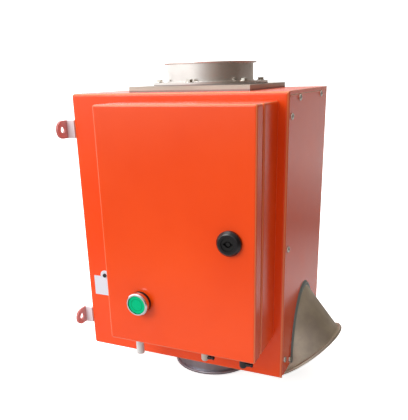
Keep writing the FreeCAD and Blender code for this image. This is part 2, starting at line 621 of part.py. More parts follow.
def diverter_duct():
    """Square duct under the scan tube, open at the right towards the chute."""
    half = (f"-({DUCT_OUT})", DUCT_OUT)
    walls = block("duct_walls", half, half, (FOOT_LOW, "duct_top"))
    wing = block("duct_wing", ("duct_half", DUCT_OUT), ("-chute_flange_half", "chute_flange_half"),
                 (FOOT_LOW, "chute_flange_top"))
    outside = fuse("duct_outside", walls, wing, foot_plate("duct_foot", FOOT_LOW))
    tools = [
        block("duct_inside", ("-duct_half", "duct_half"), ("-duct_half", "duct_half"),
              (f"{FOOT_LOW}-1", "duct_top-duct_plate")),
        rod("duct_tube_hole", f"{SCAN_R}+fit_gap", "duct_plate+2", z="duct_top-duct_plate-1"),
        tilted_rod("duct_branch", TUBE_BORE, "0", "chute_length"),
        rod("duct_shaft_hole", "shaft_r+1", "duct_half*3", "pivot_x", "duct_half*1.5", "pivot_z", "y"),
        drills("duct_bearing_holes", [(x, "duct_half*1.5", z) for x, z in BEARING_SCREWS],
               "bearing_screw_r",
               "0", "duct_half*3", "y"),
        drills("duct_foot_holes", [(x, y, FOOT_LOW) for x, y in FOOT_BOLTS], "foot_screw_r", "-1",
               "foot_thick+2", "z"),
        drills("duct_wing_holes", [("duct_half", y, z) for y, z in CHUTE_BOLTS], "chute_screw_r", "-1",
               "duct_wall+2", "x"),
        drills("duct_bracket_holes", [(x, f"-({DUCT_OUT})", z) for x, z in BRACKET_SCREWS],
               "bearing_screw_r", "-duct_wall-1", "duct_wall+2", "y"),
    ]
    return keep(cut("diverter_duct", outside, *tools), "diverter_duct")


def outlet_spigot():
    body = new_body("outlet_tube")
    lipped_tube(body, "outlet_turn", "-outlet_drop", FOOT_LOW, False)
    plate = foot_plate("outlet_plate", "housing_sheet")
    way = rod("outlet_way", TUBE_BORE, "foot_thick+2", z="housing_sheet-1")
    holes = drills("outlet_plate_holes", [(x, y, "housing_sheet") for x, y in FOOT_BOLTS],
                   "foot_screw_r", "-1", "foot_thick+2", "z")
    return keep(fuse("outlet_spigot", body, cut("outlet_flange", plate, way, holes)), "outlet_spigot")


def reject_chute():
    """Tube slanting down to the right, trimmed upright and welded to its flange on the duct."""
    tube = new_body("chute_tube")
    lipped_tube(tube, "chute_turn", "0", "chute_length", True)
    tube.Placement = FreeCAD.Placement(FreeCAD.Vector(), FreeCAD.Rotation(FreeCAD.Vector(0, 1, 0), 90))
    bind(tube, Placement__Rotation__Angle="90+chute_angle", Placement__Base__z="chute_cross")
    inner = block("chute_trim", ("-lip_r*2", DUCT_OUT), ("-lip_r*1.5", "lip_r*1.5"), ("0", "chute_cross*2"))
    trimmed = cut("chute_trimmed", tube, inner)
    plate = block("chute_plate", (DUCT_OUT, CHUTE_FACE), ("-chute_flange_half", "chute_flange_half"),
                  ("housing_sheet+fit_gap", "chute_flange_top"))
    holes = drills("chute_plate_holes", [(DUCT_OUT, y, z) for y, z in CHUTE_BOLTS], "chute_screw_r", "-1",
                   "chute_flange+2", "x")
    flange = cut("chute_flange_plate", plate, tilted_rod("chute_plate_way", TUBE_BORE, "0", "chute_length"),
                 holes)
    return keep(fuse("reject_chute", trimmed, flange), "reject_chute")


def chute_seal():
    """Rubber edging round the chute where it leaves the side cover, open at the bottom."""
    slab = block("seal_slab", (RIGHT, f"{RIGHT}+seal_thick"), (f"{FRONT}+cover_rim", f"{BACK}-cover_rim"),
                 ("cover_gap", f"{TOP}/2"))
    ring = cut("seal_ring", tilted_rod("seal_outside", "tube_r+chute_gap+seal_wide", "0", "chute_length*2"),
               tilted_rod("seal_inside", "tube_r+fit_gap", "-1", "chute_length*2+2"))
    seal = doc.addObject("Part::MultiCommon", "chute_seal")
    seal.Shapes = [slab, ring]
    return keep(seal, "chute_seal")


def nut(name, radius, tall, x, y, z, axis="z"):
    return cut(name, hexagon(name + "_outside", f"{radius}*1.9", tall, x, y, z, axis),
               rod(name + "_bore", radius, tall, x, y, z, axis))


def chute_bolts():
    made = [screws("chute_bolt", [(CHUTE_FACE, y, z) for y, z in CHUTE_BOLTS], "chute_screw_r*1.6",
                   "chute_screw_r", "chute_screw_r", "chute_flange+duct_wall+chute_screw_r*1.6", "x")]
    for i, (y, z) in enumerate(CHUTE_BOLTS):
        back = cut(f"chute_nut{i}",
                   rod(f"chute_nut_outside{i}", "chute_screw_r*1.6", "chute_screw_r*1.4",
                       "duct_half-chute_screw_r*1.4", y, z, "x"),
                   rod(f"chute_nut_bore{i}", "chute_screw_r", "chute_screw_r*1.4",
                       "duct_half-chute_screw_r*1.4", y, z, "x"))
        made.append(back)
    return keep(group("chute_bolts", *made), "chute_bolts")


# Flap, lever and air cylinder

BEARING_SCREWS = [("pivot_x-bearing_screw_in", "pivot_z-4"), ("pivot_x-bearing_screw_in", "pivot_z+16")]
BRACKET_SCREWS = [("bracket_x-bracket_foot*0.7", f"{ROD_Z}{sign}bracket_half/2") for sign in "+-"]
WALLS = (("front", f"-({DUCT_OUT})-bearing_long", f"-({DUCT_OUT})"), ("back", DUCT_OUT,
    f"{DUCT_OUT}+bearing_long"))


def flap_bearings():
    """Two bushes for the shaft, each with an upright plate on a wall of the duct."""
    made = []
    for side, low, high in WALLS:
        plate_y = (f"{high}-bearing_flange", high) if side == "front" else (low, f"{low}+bearing_flange")
        plate = block(f"bearing_plate_{side}", ("pivot_x-bearing_left", "pivot_x+bearing_right"), plate_y,
                      (FOOT_TOP, "pivot_z+bearing_high"))
        neck = rod(f"bearing_neck_{side}", "bearing_neck_r", "bearing_long",
                   "pivot_x", high, "pivot_z", "y")
        tools = [rod(f"bearing_bore_{side}", "shaft_r+run_gap", "bearing_long+2",
                     "pivot_x", f"{high}+1", "pivot_z", "y")]
        tools += [rod(f"bearing_hole_{side}{i}", "bearing_screw_r", "bearing_long+2",
                      x, f"{high}+1", z, "y")
                  for i, (x, z) in enumerate(BEARING_SCREWS)]
        made.append(cut(f"bearing_{side}", fuse(f"bearing_solid_{side}", plate, neck), *tools))
    keep(group("flap_bearings", *made), "flap_bearings")


def duct_screws():
    """Screws of the duct's foot with their nuts, and the screws of bearings and cylinder bracket."""
    made = [screws("foot_bolt", [(x, y, FOOT_TOP) for x, y in FOOT_BOLTS], "foot_screw_r*1.8",
                   "foot_screw_r",
                   "foot_screw_r", FOOT_TOP, "z")]
    made += [nut(f"foot_nut{i}", "foot_screw_r", "foot_screw_r*1.5", x, y, "-foot_screw_r*1.5")
             for i, (x, y) in enumerate(FOOT_BOLTS)]
    reach = "bearing_flange+duct_wall"
    made.append(screws("bearing_screw", [(x, f"-({DUCT_OUT})-bearing_flange", z) for x,
                                         z in BEARING_SCREWS],
                       "bearing_screw_r*1.8", "bearing_screw_r", "bearing_screw_r", reach, "y"))
    for i, (x, z) in enumerate(BEARING_SCREWS):
        head = rod(f"back_head{i}", "bearing_screw_r*1.8", "bearing_screw_r", x,
                   f"{DUCT_OUT}+bearing_flange+bearing_screw_r", z, "y")
        shank = rod(f"back_shank{i}", "bearing_screw_r", reach, x, f"{DUCT_OUT}+bearing_flange", z, "y")
        made.append(fuse(f"back_screw{i}", head, shank))
    made.append(screws("bracket_screw", [(x, f"-({DUCT_OUT})-bracket_thick", z) for x, z in BRACKET_SCREWS],
                       "bearing_screw_r*1.8", "bearing_screw_r", "bearing_screw_r",
                       "bracket_thick+duct_wall", "y"))
    keep(group("duct_screws", *made), "duct_screws")


def flap():
    across = ("-flap_half", "flap_half")
    blade = block("flap_blade", ("pivot_x+flap_offset", "pivot_x+flap_offset+flap_thick"), across,
                  ("pivot_z", "pivot_z+flap_tall"))
    sleeve = rod("flap_sleeve", "hub_r", "2*flap_half", "pivot_x", "flap_half", "pivot_z", "y")
    way = rod("flap_way", "shaft_r", "2*flap_half+2", "pivot_x", "flap_half+1", "pivot_z", "y")
    keep(cut("flap_plate", fuse("flap_solid", blade, sleeve), way), "flap_plate")
    keep(rod("flap_shaft", "shaft_r", "shaft_front+shaft_back", "pivot_x", "shaft_back", "pivot_z", "y"),
         "flap_shaft")


def flap_lever():
    """Lever on the shaft's front end, with a slot for the fork pin; it leans by half the swing at rest."""
    sides = (f"{ROD_Y}-lever_thick/2", f"{ROD_Y}+lever_thick/2")
    low, high = "lever_reach-slot_below", "lever_reach-slot_below+slot_spread"
    hub = rod("lever_hub", "lever_hub_r", "lever_hub_long", "0", f"{ROD_Y}+lever_hub_long/2", "0", "y")
    arm = block("lever_arm", ("-lever_tip_r", "lever_tip_r"), sides, ("0", high))
    tip = rod("lever_tip", "lever_tip_r", "lever_thick", "0", sides[1], high, "y")
    tools = [rod("lever_bore", "shaft_r", "lever_hub_long+2", "0", f"{ROD_Y}+lever_hub_long/2+1", "0", "y"),
             block("lever_slot", ("-slot_half", "slot_half"), sides, (low, high))]
    tools += [rod(f"lever_slot_end{i}", "slot_half", "lever_thick", "0", sides[1], z, "y")
              for i, z in enumerate((low, high))]
    lever = cut("flap_lever", fuse("lever_solid", hub, arm, tip), *tools)
    lever.Placement = FreeCAD.Placement(FreeCAD.Vector(), FreeCAD.Rotation(FreeCAD.Vector(0, 1, 0), 20))
    bind(lever, Placement__Rotation__Angle="flap_swing/2")
    keep(move(lever, "pivot_x", "0", "pivot_z"), "flap_lever")


CAP_BACK = "bracket_x-cap_long"
BARREL_BACK = f"{CAP_BACK}-barrel_long"
PORTS = ("bracket_x-cap_long/2", f"{BARREL_BACK}-cap_long/2")


def cylinder():
    """Round air cylinder with a threaded nose, held by an angle bracket on the duct's front wall."""
    wall = f"-({DUCT_OUT})"
    heights = (f"{ROD_Z}-bracket_half", f"{ROD_Z}+bracket_half")
    upright = block("bracket_upright", ("bracket_x", "bracket_x+bracket_thick"),
                    (f"{ROD_Y}-bracket_half", wall), heights)
    foot = block("bracket_foot_plate", ("bracket_x-bracket_foot", "bracket_x"),
                 (f"{wall}-bracket_thick", wall), heights)
    tools = [rod("bracket_way", "nose_r", "bracket_thick+2", "bracket_x-1", ROD_Y, ROD_Z, "x"),
             drills("bracket_holes", [(x, f"{wall}-bracket_thick", z) for x, z in BRACKET_SCREWS],
                    "bearing_screw_r", "-bracket_thick-1", "bracket_thick+2", "y")]
    keep(cut("cylinder_bracket", fuse("bracket_angle", upright, foot), *tools), "cylinder_bracket")
    barrel = rod("barrel_outside", "barrel_r", "barrel_long", BARREL_BACK, ROD_Y, ROD_Z, "x")
    barrel_bore = rod("barrel_bore", "barrel_bore_r", "barrel_long", BARREL_BACK, ROD_Y, ROD_Z, "x")
    keep(cut("cylinder_tube", barrel, barrel_bore), "cylinder_tube")
    front = fuse("front_cap_solid", rod("front_cap_body", "cap_r", "cap_long", CAP_BACK, ROD_Y, ROD_Z, "x"),
                 rod("front_cap_nose", "nose_r", "nose_long", "bracket_x", ROD_Y, ROD_Z, "x"),
                 rod("front_cap_spigot", "barrel_bore_r", "cap_spigot", f"{CAP_BACK}-cap_spigot", ROD_Y,
                     ROD_Z, "x"))
    way = rod("rod_way", "rod_r+run_gap", "cap_long+nose_long+cap_spigot+2",
              f"{CAP_BACK}-cap_spigot-1", ROD_Y, ROD_Z, "x")
    rear = fuse("rear_cap_solid",
                rod("rear_cap_body", "cap_r", "cap_long", f"{BARREL_BACK}-cap_long", ROD_Y, ROD_Z, "x"),
                rod("rear_cap_spigot", "barrel_bore_r", "cap_spigot", BARREL_BACK, ROD_Y, ROD_Z, "x"),
                block("rear_cap_tail", (f"{BARREL_BACK}-cap_long-tail_long", f"{BARREL_BACK}-cap_long"),
                      (f"{ROD_Y}-tail_thick/2", f"{ROD_Y}+tail_thick/2"), (f"{ROD_Z}-tail_thick",
                          f"{ROD_Z}+tail_thick")))
    eye = rod("rear_cap_eye", "tail_thick/2", "tail_thick+2", f"{BARREL_BACK}-cap_long-tail_long/2",
              f"{ROD_Y}+tail_thick/2+1", ROD_Z, "y")
    holes = [rod(f"port_hole{i}", "port_r", "cap_r", x, ROD_Y, f"{ROD_Z}+cap_r-port_deep")
             for i, x in enumerate(PORTS)]
    front_cap = cut("front_cap", front, way, holes[0])
    rear_cap = cut("rear_cap", rear, eye, holes[1])
    keep(group("cylinder_caps", front_cap, rear_cap), "cylinder_caps")
    nut_outside = hexagon("nose_nut_outside", "nose_nut_r", "nose_nut_tall", "bracket_x+bracket_thick",
                          ROD_Y, ROD_Z, "x")
    keep(cut("cylinder_nut", nut_outside, rod("nose_nut_bore", "nose_r", "nose_nut_tall",
                                              "bracket_x+bracket_thick", ROD_Y, ROD_Z, "x")),
         "cylinder_nut")
    piston_x = f"{CAP_BACK}-cap_spigot-piston_back-piston_long"
    shaft_end = f"{PIN_X}-fork_long+fork_nose+rod_in_fork"
    piston = rod("piston", "barrel_bore_r-run_gap", "piston_long", piston_x, ROD_Y, ROD_Z, "x")
    bar = rod("rod_bar", "rod_r", f"{shaft_end}-({piston_x})", piston_x, ROD_Y, ROD_Z, "x")
    keep(fuse("piston_rod", piston, bar), "piston_rod")


def rod_fork():
    """Clevis on the rod, its slot open at the top, the bottom and the free end for the lever."""
    back, end = f"{PIN_X}-fork_long+fork_nose", f"{PIN_X}+fork_nose"
    solid = block("fork_solid", (back, end), (f"{ROD_Y}-fork_wide/2", f"{ROD_Y}+fork_wide/2"),
                  (f"{ROD_Z}-fork_tall/2", f"{ROD_Z}+fork_tall/2"))
    slot = block("fork_slot_way", (f"{PIN_X}-fork_slot_deep", f"{end}+1"), (f"{ROD_Y}-fork_slot/2",
        f"{ROD_Y}+fork_slot/2"),
                 (f"{ROD_Z}-fork_tall", f"{ROD_Z}+fork_tall"))
    hole = rod("fork_pin_hole", "pin_r", "fork_wide+2", PIN_X, f"{ROD_Y}+fork_wide/2+1", ROD_Z, "y")
    thread = rod("fork_thread", "rod_r", "rod_in_fork", back, ROD_Y, ROD_Z, "x")
    keep(cut("rod_fork", solid, slot, hole, thread), "rod_fork")
    keep(rod("fork_pin", "pin_r", "pin_long", PIN_X, f"{ROD_Y}+pin_long/2", ROD_Z, "y"), "fork_pin")


# Control box

BOX_X, BOX_Z = ("-box_left", "box_right"), ("box_low", "box_high")
LOCK_AT, BUTTON_AT = ("lock_x", "lock_z"), ("button_x", "button_z")
PLATE_X = ("-box_left+plate_margin", "box_right-plate_margin")
PLATE_Z = ("box_low+plate_margin", "box_high-plate_margin")
BOX_SCREWS = [(x, FRONT, z) for x in ("-box_left+box_screw_in", "box_right-box_screw_in")
              for z in ("box_low+box_screw_in", "box_high-box_screw_in")]
ENTRIES = ("gland_x", "elbow_x", "elbow_two_x")


def inset(pair, amount):
    return (f"{pair[0]}+{amount}", f"{pair[1]}-({amount})")


def control_box():
    """Box on the housing's front with a narrower neck that the door closes over, and its mouth's frame."""
    body = new_body("box_body")
    brick(body, "Additive", "box_outside", BOX_X, (SHOULDER, FRONT), BOX_Z)
    shoulder = -size("housing_front") - size("box_proud") + size("door_deep") + size("door_gap")
    round_edges(body, "box_bends", "box_corner", lambda edge: along(edge, "y") or at(edge, "y", shoulder))
    brick(body, "Additive", "neck", inset(BOX_X, "neck_inset"), (NECK_FRONT, f"{SHOULDER}+box_sheet"),
          inset(BOX_Z, "neck_inset"))
    brick(body, "Subtractive", "box_inside", inset(BOX_X, "box_sheet"),
          (f"{SHOULDER}+box_sheet", f"{FRONT}-box_sheet"), inset(BOX_Z, "box_sheet"))
    brick(body, "Subtractive", "neck_inside", inset(BOX_X, "neck_inset+box_sheet"),
          (f"{NECK_FRONT}-1", f"{FRONT}-box_sheet"), inset(BOX_Z, "neck_inset+box_sheet"))
    tools = [rod("box_cable_way", "grommet_r", "box_sheet*2", "grommet_x", FRONT, "grommet_z", "y"),
             drills("box_screw_holes", BOX_SCREWS, "box_screw_r", "-1", "box_sheet*2+2", "y")]
    tools += [rod(f"entry_hole{i}", "entry_r", "box_sheet*2", x, "entry_y", "box_low-box_sheet/2")
              for i, x in enumerate(ENTRIES)]
    keep(cut("box_drilled", body, *tools), "control_box")
    rim_y = (NECK_FRONT, f"{NECK_FRONT}+box_sheet")
    keep(cut("gutter_ring",
             block("gutter_outside", inset(BOX_X, "neck_inset+box_sheet"), rim_y, inset(BOX_Z,
                 "neck_inset+box_sheet")),
             block("gutter_opening", inset(BOX_X, "neck_inset+neck_lip"), rim_y, inset(BOX_Z,
                 "neck_inset+neck_lip"))),
         "gutter_frame")
    keep(screws("box_screws", [(x, f"{y}-box_sheet", z) for x, y, z in BOX_SCREWS], "box_screw_r*1.8",
                "box_screw_r", "box_screw_r", "box_sheet+housing_sheet", "y"), "box_screws")


def control_door():
    body = new_body("control_door")
    brick(body, "Additive", "door_outside", BOX_X, (BOX_FRONT, DOOR_BACK), BOX_Z)
    face = -size("housing_front") - size("box_proud")
    round_edges(body, "door_bends", "door_edge", lambda edge: along(edge, "y") or at(edge, "y", face))
    brick(body, "Subtractive", "door_inside", inset(BOX_X, "box_sheet"), (DOOR_IN, f"{DOOR_BACK}+1"),
          inset(BOX_Z, "box_sheet"))
    for name, radius, (x, z) in (("lock", "lock_barrel_r", LOCK_AT), ("button", "button_barrel_r",
        BUTTON_AT)):
        bore(body, f"door_{name}_hole", radius, "box_sheet+2", x, f"{DOOR_IN}+1", z, "y")
    keep(body, "control_door")
    seal_y = (DOOR_IN, f"{NECK_FRONT}-gasket_gap")
    outside = block("gasket_outside", inset(BOX_X, "gasket_in"), seal_y, inset(BOX_Z, "gasket_in"))
    inside = block("gasket_inside", inset(BOX_X, "gasket_in+gasket_wide"), seal_y,
                   inset(BOX_Z, "gasket_in+gasket_wide"))
    keep(cut("door_gasket", outside, inside), "door_gasket")


def hinges():
    """Two inside hinges in the gap behind the door: leaves on the neck, leaves on the door, pins."""
    box_side, door_side, pins = [], [], []
    for i, z in enumerate(HINGE_HEIGHTS):
        half, slit = "hinge_tall/2", "hinge_door_tall/2+knuckle_gap"
        leaf_x = (f"-box_left+neck_inset-leaf_thick", "-box_left+neck_inset")
        front_y = f"{NECK_FRONT}+box_sheet+leaf_in"
        leaf = block(f"box_leaf{i}", leaf_x, (front_y, f"{HINGE_Y}+leaf_behind"), (f"{z}-{half}",
            f"{z}+{half}"))
        knuckles = rod(f"box_knuckle{i}", "knuckle_r", "hinge_tall", HINGE_X, HINGE_Y, f"{z}-{half}")
        notch = block(f"hinge_notch{i}", (f"{HINGE_X}-knuckle_r-1", "-box_left+neck_inset"),
                      (f"{HINGE_Y}-knuckle_r-knuckle_gap", f"{HINGE_Y}+knuckle_r+1"), (f"{z}-({slit})",
                          f"{z}+{slit}"))
        way = rod(f"box_pin_way{i}", "hinge_pin_r", "hinge_tall", HINGE_X, HINGE_Y, f"{z}-{half}")
        box_side.append(cut(f"box_hinge{i}", fuse(f"box_hinge_solid{i}", leaf, knuckles), notch, way))
        middle = (f"{z}-hinge_door_tall/2", f"{z}+hinge_door_tall/2")
        wing = block(f"door_leaf{i}", ("-box_left+box_sheet", "-box_left+box_sheet+leaf_thick"),
                     (DOOR_IN, HINGE_Y), middle)
        knuckle = rod(f"door_knuckle{i}", "knuckle_r", "hinge_door_tall", HINGE_X, HINGE_Y, middle[0])
        gap = rod(f"door_pin_way{i}", "hinge_pin_r+run_gap", "hinge_door_tall", HINGE_X, HINGE_Y, middle[0])
        door_side.append(cut(f"door_hinge{i}", fuse(f"door_hinge_solid{i}", wing, knuckle), gap))
        pins.append(rod(f"hinge_pin{i}", "hinge_pin_r", "hinge_tall", HINGE_X, HINGE_Y, f"{z}-{half}"))
    keep(group("box_hinge_leaves", *box_side), "box_hinge_leaves")
    keep(group("door_hinge_leaves", *door_side), "door_hinge_leaves")
    keep(group("hinge_pins", *pins), "hinge_pins")


def turned(name, label, place, points):
    """A round part on the door: profile of (radius, height), height counted outwards from the door's face."""
    body = turn_to(new_body(name), "y")
    revolve(body, name + "_turn", points)
    return keep(move(body, place[0], BOX_FRONT, place[1]), label)


def ring_nut(name, corner_r, tall, radius, place):
    outside = hexagon(name + "_outside", corner_r, tall, place[0], f"{DOOR_IN}+{tall}", place[1], "y")
    hole = rod(name + "_bore", radius, tall, place[0], f"{DOOR_IN}+{tall}", place[1], "y")
    return cut(name, outside, hole)


def lock_and_button():
    turned("lock_collar", "lock_collar", LOCK_AT,
           [("lock_bore_r", "-lock_deep"), ("lock_barrel_r", "-lock_deep"), ("lock_barrel_r", "0"),
            ("lock_r", "0"),
            ("lock_r", "lock_proud/2"), ("lock_r*0.84", "lock_proud*0.93"), ("lock_r*0.76", "lock_proud"),
            ("lock_bore_r", "lock_proud")])
    face = f"{BOX_FRONT}-lock_proud+lock_sunk"
    slot_floor = f"{face}+slot_deep"
    core = fuse("insert_core",
                rod("insert_head", "lock_insert_r", f"lock_proud-lock_sunk+lock_deep", "lock_x",
                    f"{BOX_FRONT}+lock_deep", "lock_z", "y"),
                rod("insert_stem", "stem_r", "stem_long", "lock_x", f"{BOX_FRONT}+lock_deep+stem_long",
                    "lock_z", "y"))
    tool = new_body("slot_tool")
    corners = [("lock_x-slot_reach", "lock_z"), ("lock_x-slot_reach*0.45", "lock_z-slot_tall"),
               ("lock_x+slot_reach*0.45", "lock_z-slot_tall"), ("lock_x+slot_reach", "lock_z"),
               ("lock_x+slot_reach*0.45", "lock_z+slot_tall"), ("lock_x-slot_reach*0.45", "lock_z+slot_tall")]
    shape = outline(tool, "slot_shape", "XZ_Plane", corners, offset=f"-({slot_floor})")
    pad(tool, "slot_pad", shape, "slot_deep+1")
    eye = rod("slot_round", "slot_round_r", "slot_deep+1", "lock_x", slot_floor, "lock_z", "y")
    centre = rod("slot_pin", "slot_pin_r", "slot_deep*0.8", "lock_x", slot_floor, "lock_z", "y")
    keep(fuse("lock_insert_all", cut("insert_slotted", core, tool, eye), centre), "lock_insert")
    cam_y = f"{BOX_FRONT}+cam_from"
    solid = fuse("cam_solid",
                 block("cam_arm", ("lock_x-cam_wide/2", "lock_x+cam_wide/2"), (cam_y, f"{cam_y}+cam_thick"),
                       ("lock_z-cam_long", "lock_z")),
                 rod("cam_head", "cam_wide/2", "cam_thick", "lock_x", f"{cam_y}+cam_thick", "lock_z", "y"))
    bore_at = ("lock_x", f"{cam_y}+cam_thick+1", "lock_z")
    keep(cut("lock_cam", solid, rod("cam_bore", "stem_r", "cam_thick+2", *bore_at, "y")), "lock_cam")
    head_low = "button_proud-lens_sunk-lens_head"
    head_floor = f"{head_low}-button_travel-fit_gap"
    turned("button_bezel", "button_bezel", BUTTON_AT,
           [("button_bore_r", "-button_deep"), ("button_barrel_r", "-button_deep"),
            ("button_barrel_r", "button_seal"), ("button_r", "button_seal"),
            ("button_r", "button_proud-1.5"), ("button_r-1.2", "button_proud"),
            ("head_bore_r", "button_proud"), ("head_bore_r", head_floor), ("button_bore_r", head_floor)])
    turned("button_seal_ring", "button_seal", BUTTON_AT,
           [("button_barrel_r", "0"), ("button_r-0.5", "0"), ("button_r-0.5", "button_seal"),
            ("button_barrel_r", "button_seal")])
    turned("button_lens", "button_lens", BUTTON_AT,
           [("0", "-button_deep+button_travel+fit_gap"), ("lens_r", "-button_deep+button_travel+fit_gap"),
            ("lens_r", head_low), ("lens_head_r", head_low), ("lens_head_r", "button_proud-lens_sunk-0.6"),
            ("lens_head_r-0.6", "button_proud-lens_sunk"), ("0", "button_proud-lens_sunk")])
    keep(group("door_nuts", ring_nut("lock_nut", "lock_nut_r", "lock_nut_tall", "lock_barrel_r", LOCK_AT),
               ring_nut("button_nut", "button_r", "button_nut_tall", "button_barrel_r", BUTTON_AT)),
         "door_nuts")
    back = f"{BOX_FRONT}+button_deep"
    contact = new_body("button_contact_block")
    brick(contact, "Additive", "contact_outside", ("button_x-block_wide/2", "button_x+block_wide/2"),
          (back, f"{back}+block_deep"), ("button_z-block_wide/2", "button_z+block_wide/2"))
    round_edges(contact, "contact_edges", "box_sheet", lambda edge: along(edge, "y"))
    keep(contact, "button_contact_block")


def inside_the_box():
    """Mounting plate on spacers, with the rail, the terminals and the units that the plate carries."""
    plate_y = (PLATE_FRONT, f"{PLATE_FRONT}+plate_thick")
    parts = [block("plate_sheet", PLATE_X, plate_y, PLATE_Z)]
    corners = [(x, z) for x in inset(PLATE_X, "spacer_r*1.5") for z in inset(PLATE_Z, "spacer_r*1.5")]
    parts += [rod(f"spacer{i}", "spacer_r", "spacer_tall", x, f"{FRONT}-box_sheet", z, "y")
              for i, (x, z) in enumerate(corners)]
    keep(fuse("mounting_plate", *parts), "mounting_plate")
    long = ("din_low_x", "din_high_x")
    web_half, flange_half = "din_wide/2-5", "din_wide/2"
    rail = [block("rail_web", long, (f"{PLATE_FRONT}-din_sheet", PLATE_FRONT),
                  (f"rail_z-({web_half})", f"rail_z+{web_half}"))]
    for i, sign in enumerate("-+"):
        inner, outer = f"rail_z{sign}({web_half}-din_sheet)", f"rail_z{sign}({web_half})"
        far = f"rail_z{sign}({flange_half})"
        order = (outer, inner) if sign == "-" else (inner, outer)
        reach = (far, inner) if sign == "-" else (inner, far)
        rail.append(block(f"rail_side{i}", long, (f"{PLATE_FRONT}-din_deep", PLATE_FRONT), order))
        rail.append(block(f"rail_brim{i}", long, (f"{PLATE_FRONT}-din_deep",
                                                  f"{PLATE_FRONT}-din_deep+din_sheet"), reach))
    keep(fuse("terminal_rail", *rail), "terminal_rail")
    rail_front = f"{PLATE_FRONT}-din_deep"
    blocks = []
    for i in range(6):
        x = f"terminal_x+{i}*terminal_pitch"
        solid = block(f"terminal_solid{i}", (x, f"{x}+terminal_pitch-fit_gap"),
                      (f"{rail_front}-terminal_deep", rail_front), ("rail_z-terminal_half",
                          "rail_z+terminal_half"))
        holes = [rod(f"terminal_hole{i}{j}", "terminal_pitch*0.33", "terminal_deep/2",
                     f"{x}+terminal_pitch/2",
                     f"{rail_front}-terminal_deep/2", f"rail_z{sign}terminal_half*{share}", "y")
                 for j, (sign, share) in enumerate((("+", 0.45), ("+", 0.8), ("-", 0.45), ("-", 0.8)))]
        blocks.append(cut(f"terminal{i}", solid, *holes))
    keep(group("terminal_blocks", *blocks), "terminal_blocks")
    unit = new_body("evaluation_unit")
    brick(unit, "Additive", "unit_outside", ("-unit_half", "unit_half"), (f"{PLATE_FRONT}-unit_deep",
        PLATE_FRONT),
          ("unit_low", "unit_high"))
    behind = ("housing_front", "box_sheet", "spacer_tall", "plate_thick", "unit_deep")
    face = -sum(size(name) for name in behind)
    round_edges(unit, "unit_edges", "box_sheet", lambda edge: at(edge, "y", face))
    brick(unit, "Subtractive", "unit_window", ("-unit_half*0.6", "unit_half*0.6"),
          (f"{PLATE_FRONT}-unit_deep-1", f"{PLATE_FRONT}-unit_deep+din_sheet"), ("unit_high-unit_half",
              "unit_high-unit_half*0.4"))
    for i in range(8):
        x = f"-unit_half*0.85+{i}*unit_half*0.22"
        brick(unit, "Subtractive", f"unit_socket{i}", (x, f"{x}+unit_half*0.14"),
              (f"{PLATE_FRONT}-unit_deep-1", f"{PLATE_FRONT}-unit_deep+spacer_tall"),
              ("unit_low+spacer_r", "unit_low+spacer_r*3"))
    keep(unit, "evaluation_unit")
    supply = new_body("power_supply")
    brick(supply, "Additive", "supply_outside", ("supply_low_x", "supply_high_x"),
          (f"{PLATE_FRONT}-supply_deep", PLATE_FRONT), ("unit_low", "unit_low+supply_tall"))
    for i in range(7):
        z = f"unit_low+supply_tall*0.3+{i}*supply_tall*0.08"
        brick(supply, "Subtractive", f"supply_vent{i}", (f"supply_low_x+spacer_r",
            "supply_high_x-spacer_r"),
              (f"{PLATE_FRONT}-supply_deep-1", f"{PLATE_FRONT}-supply_deep+spacer_tall"), (z,
                  f"{z}+supply_tall*0.04"))
    keep(supply, "power_supply")
    valve_x = ("valve_x", "valve_x+valve_wide")
    low = "box_low+plate_margin+spacer_r"
    body = block("valve_body", valve_x, (f"{PLATE_FRONT}-valve_deep", PLATE_FRONT), (low,
        f"{low}+valve_tall"))
    coil_block = block("valve_coil", valve_x, (f"{PLATE_FRONT}-valve_deep*1.1",
                                               f"{PLATE_FRONT}-valve_deep*0.1"),
                       (f"{low}+valve_tall", f"{low}+valve_tall*1.8"))
    keep(group("solenoid_valve", body, coil_block), "solenoid_valve")


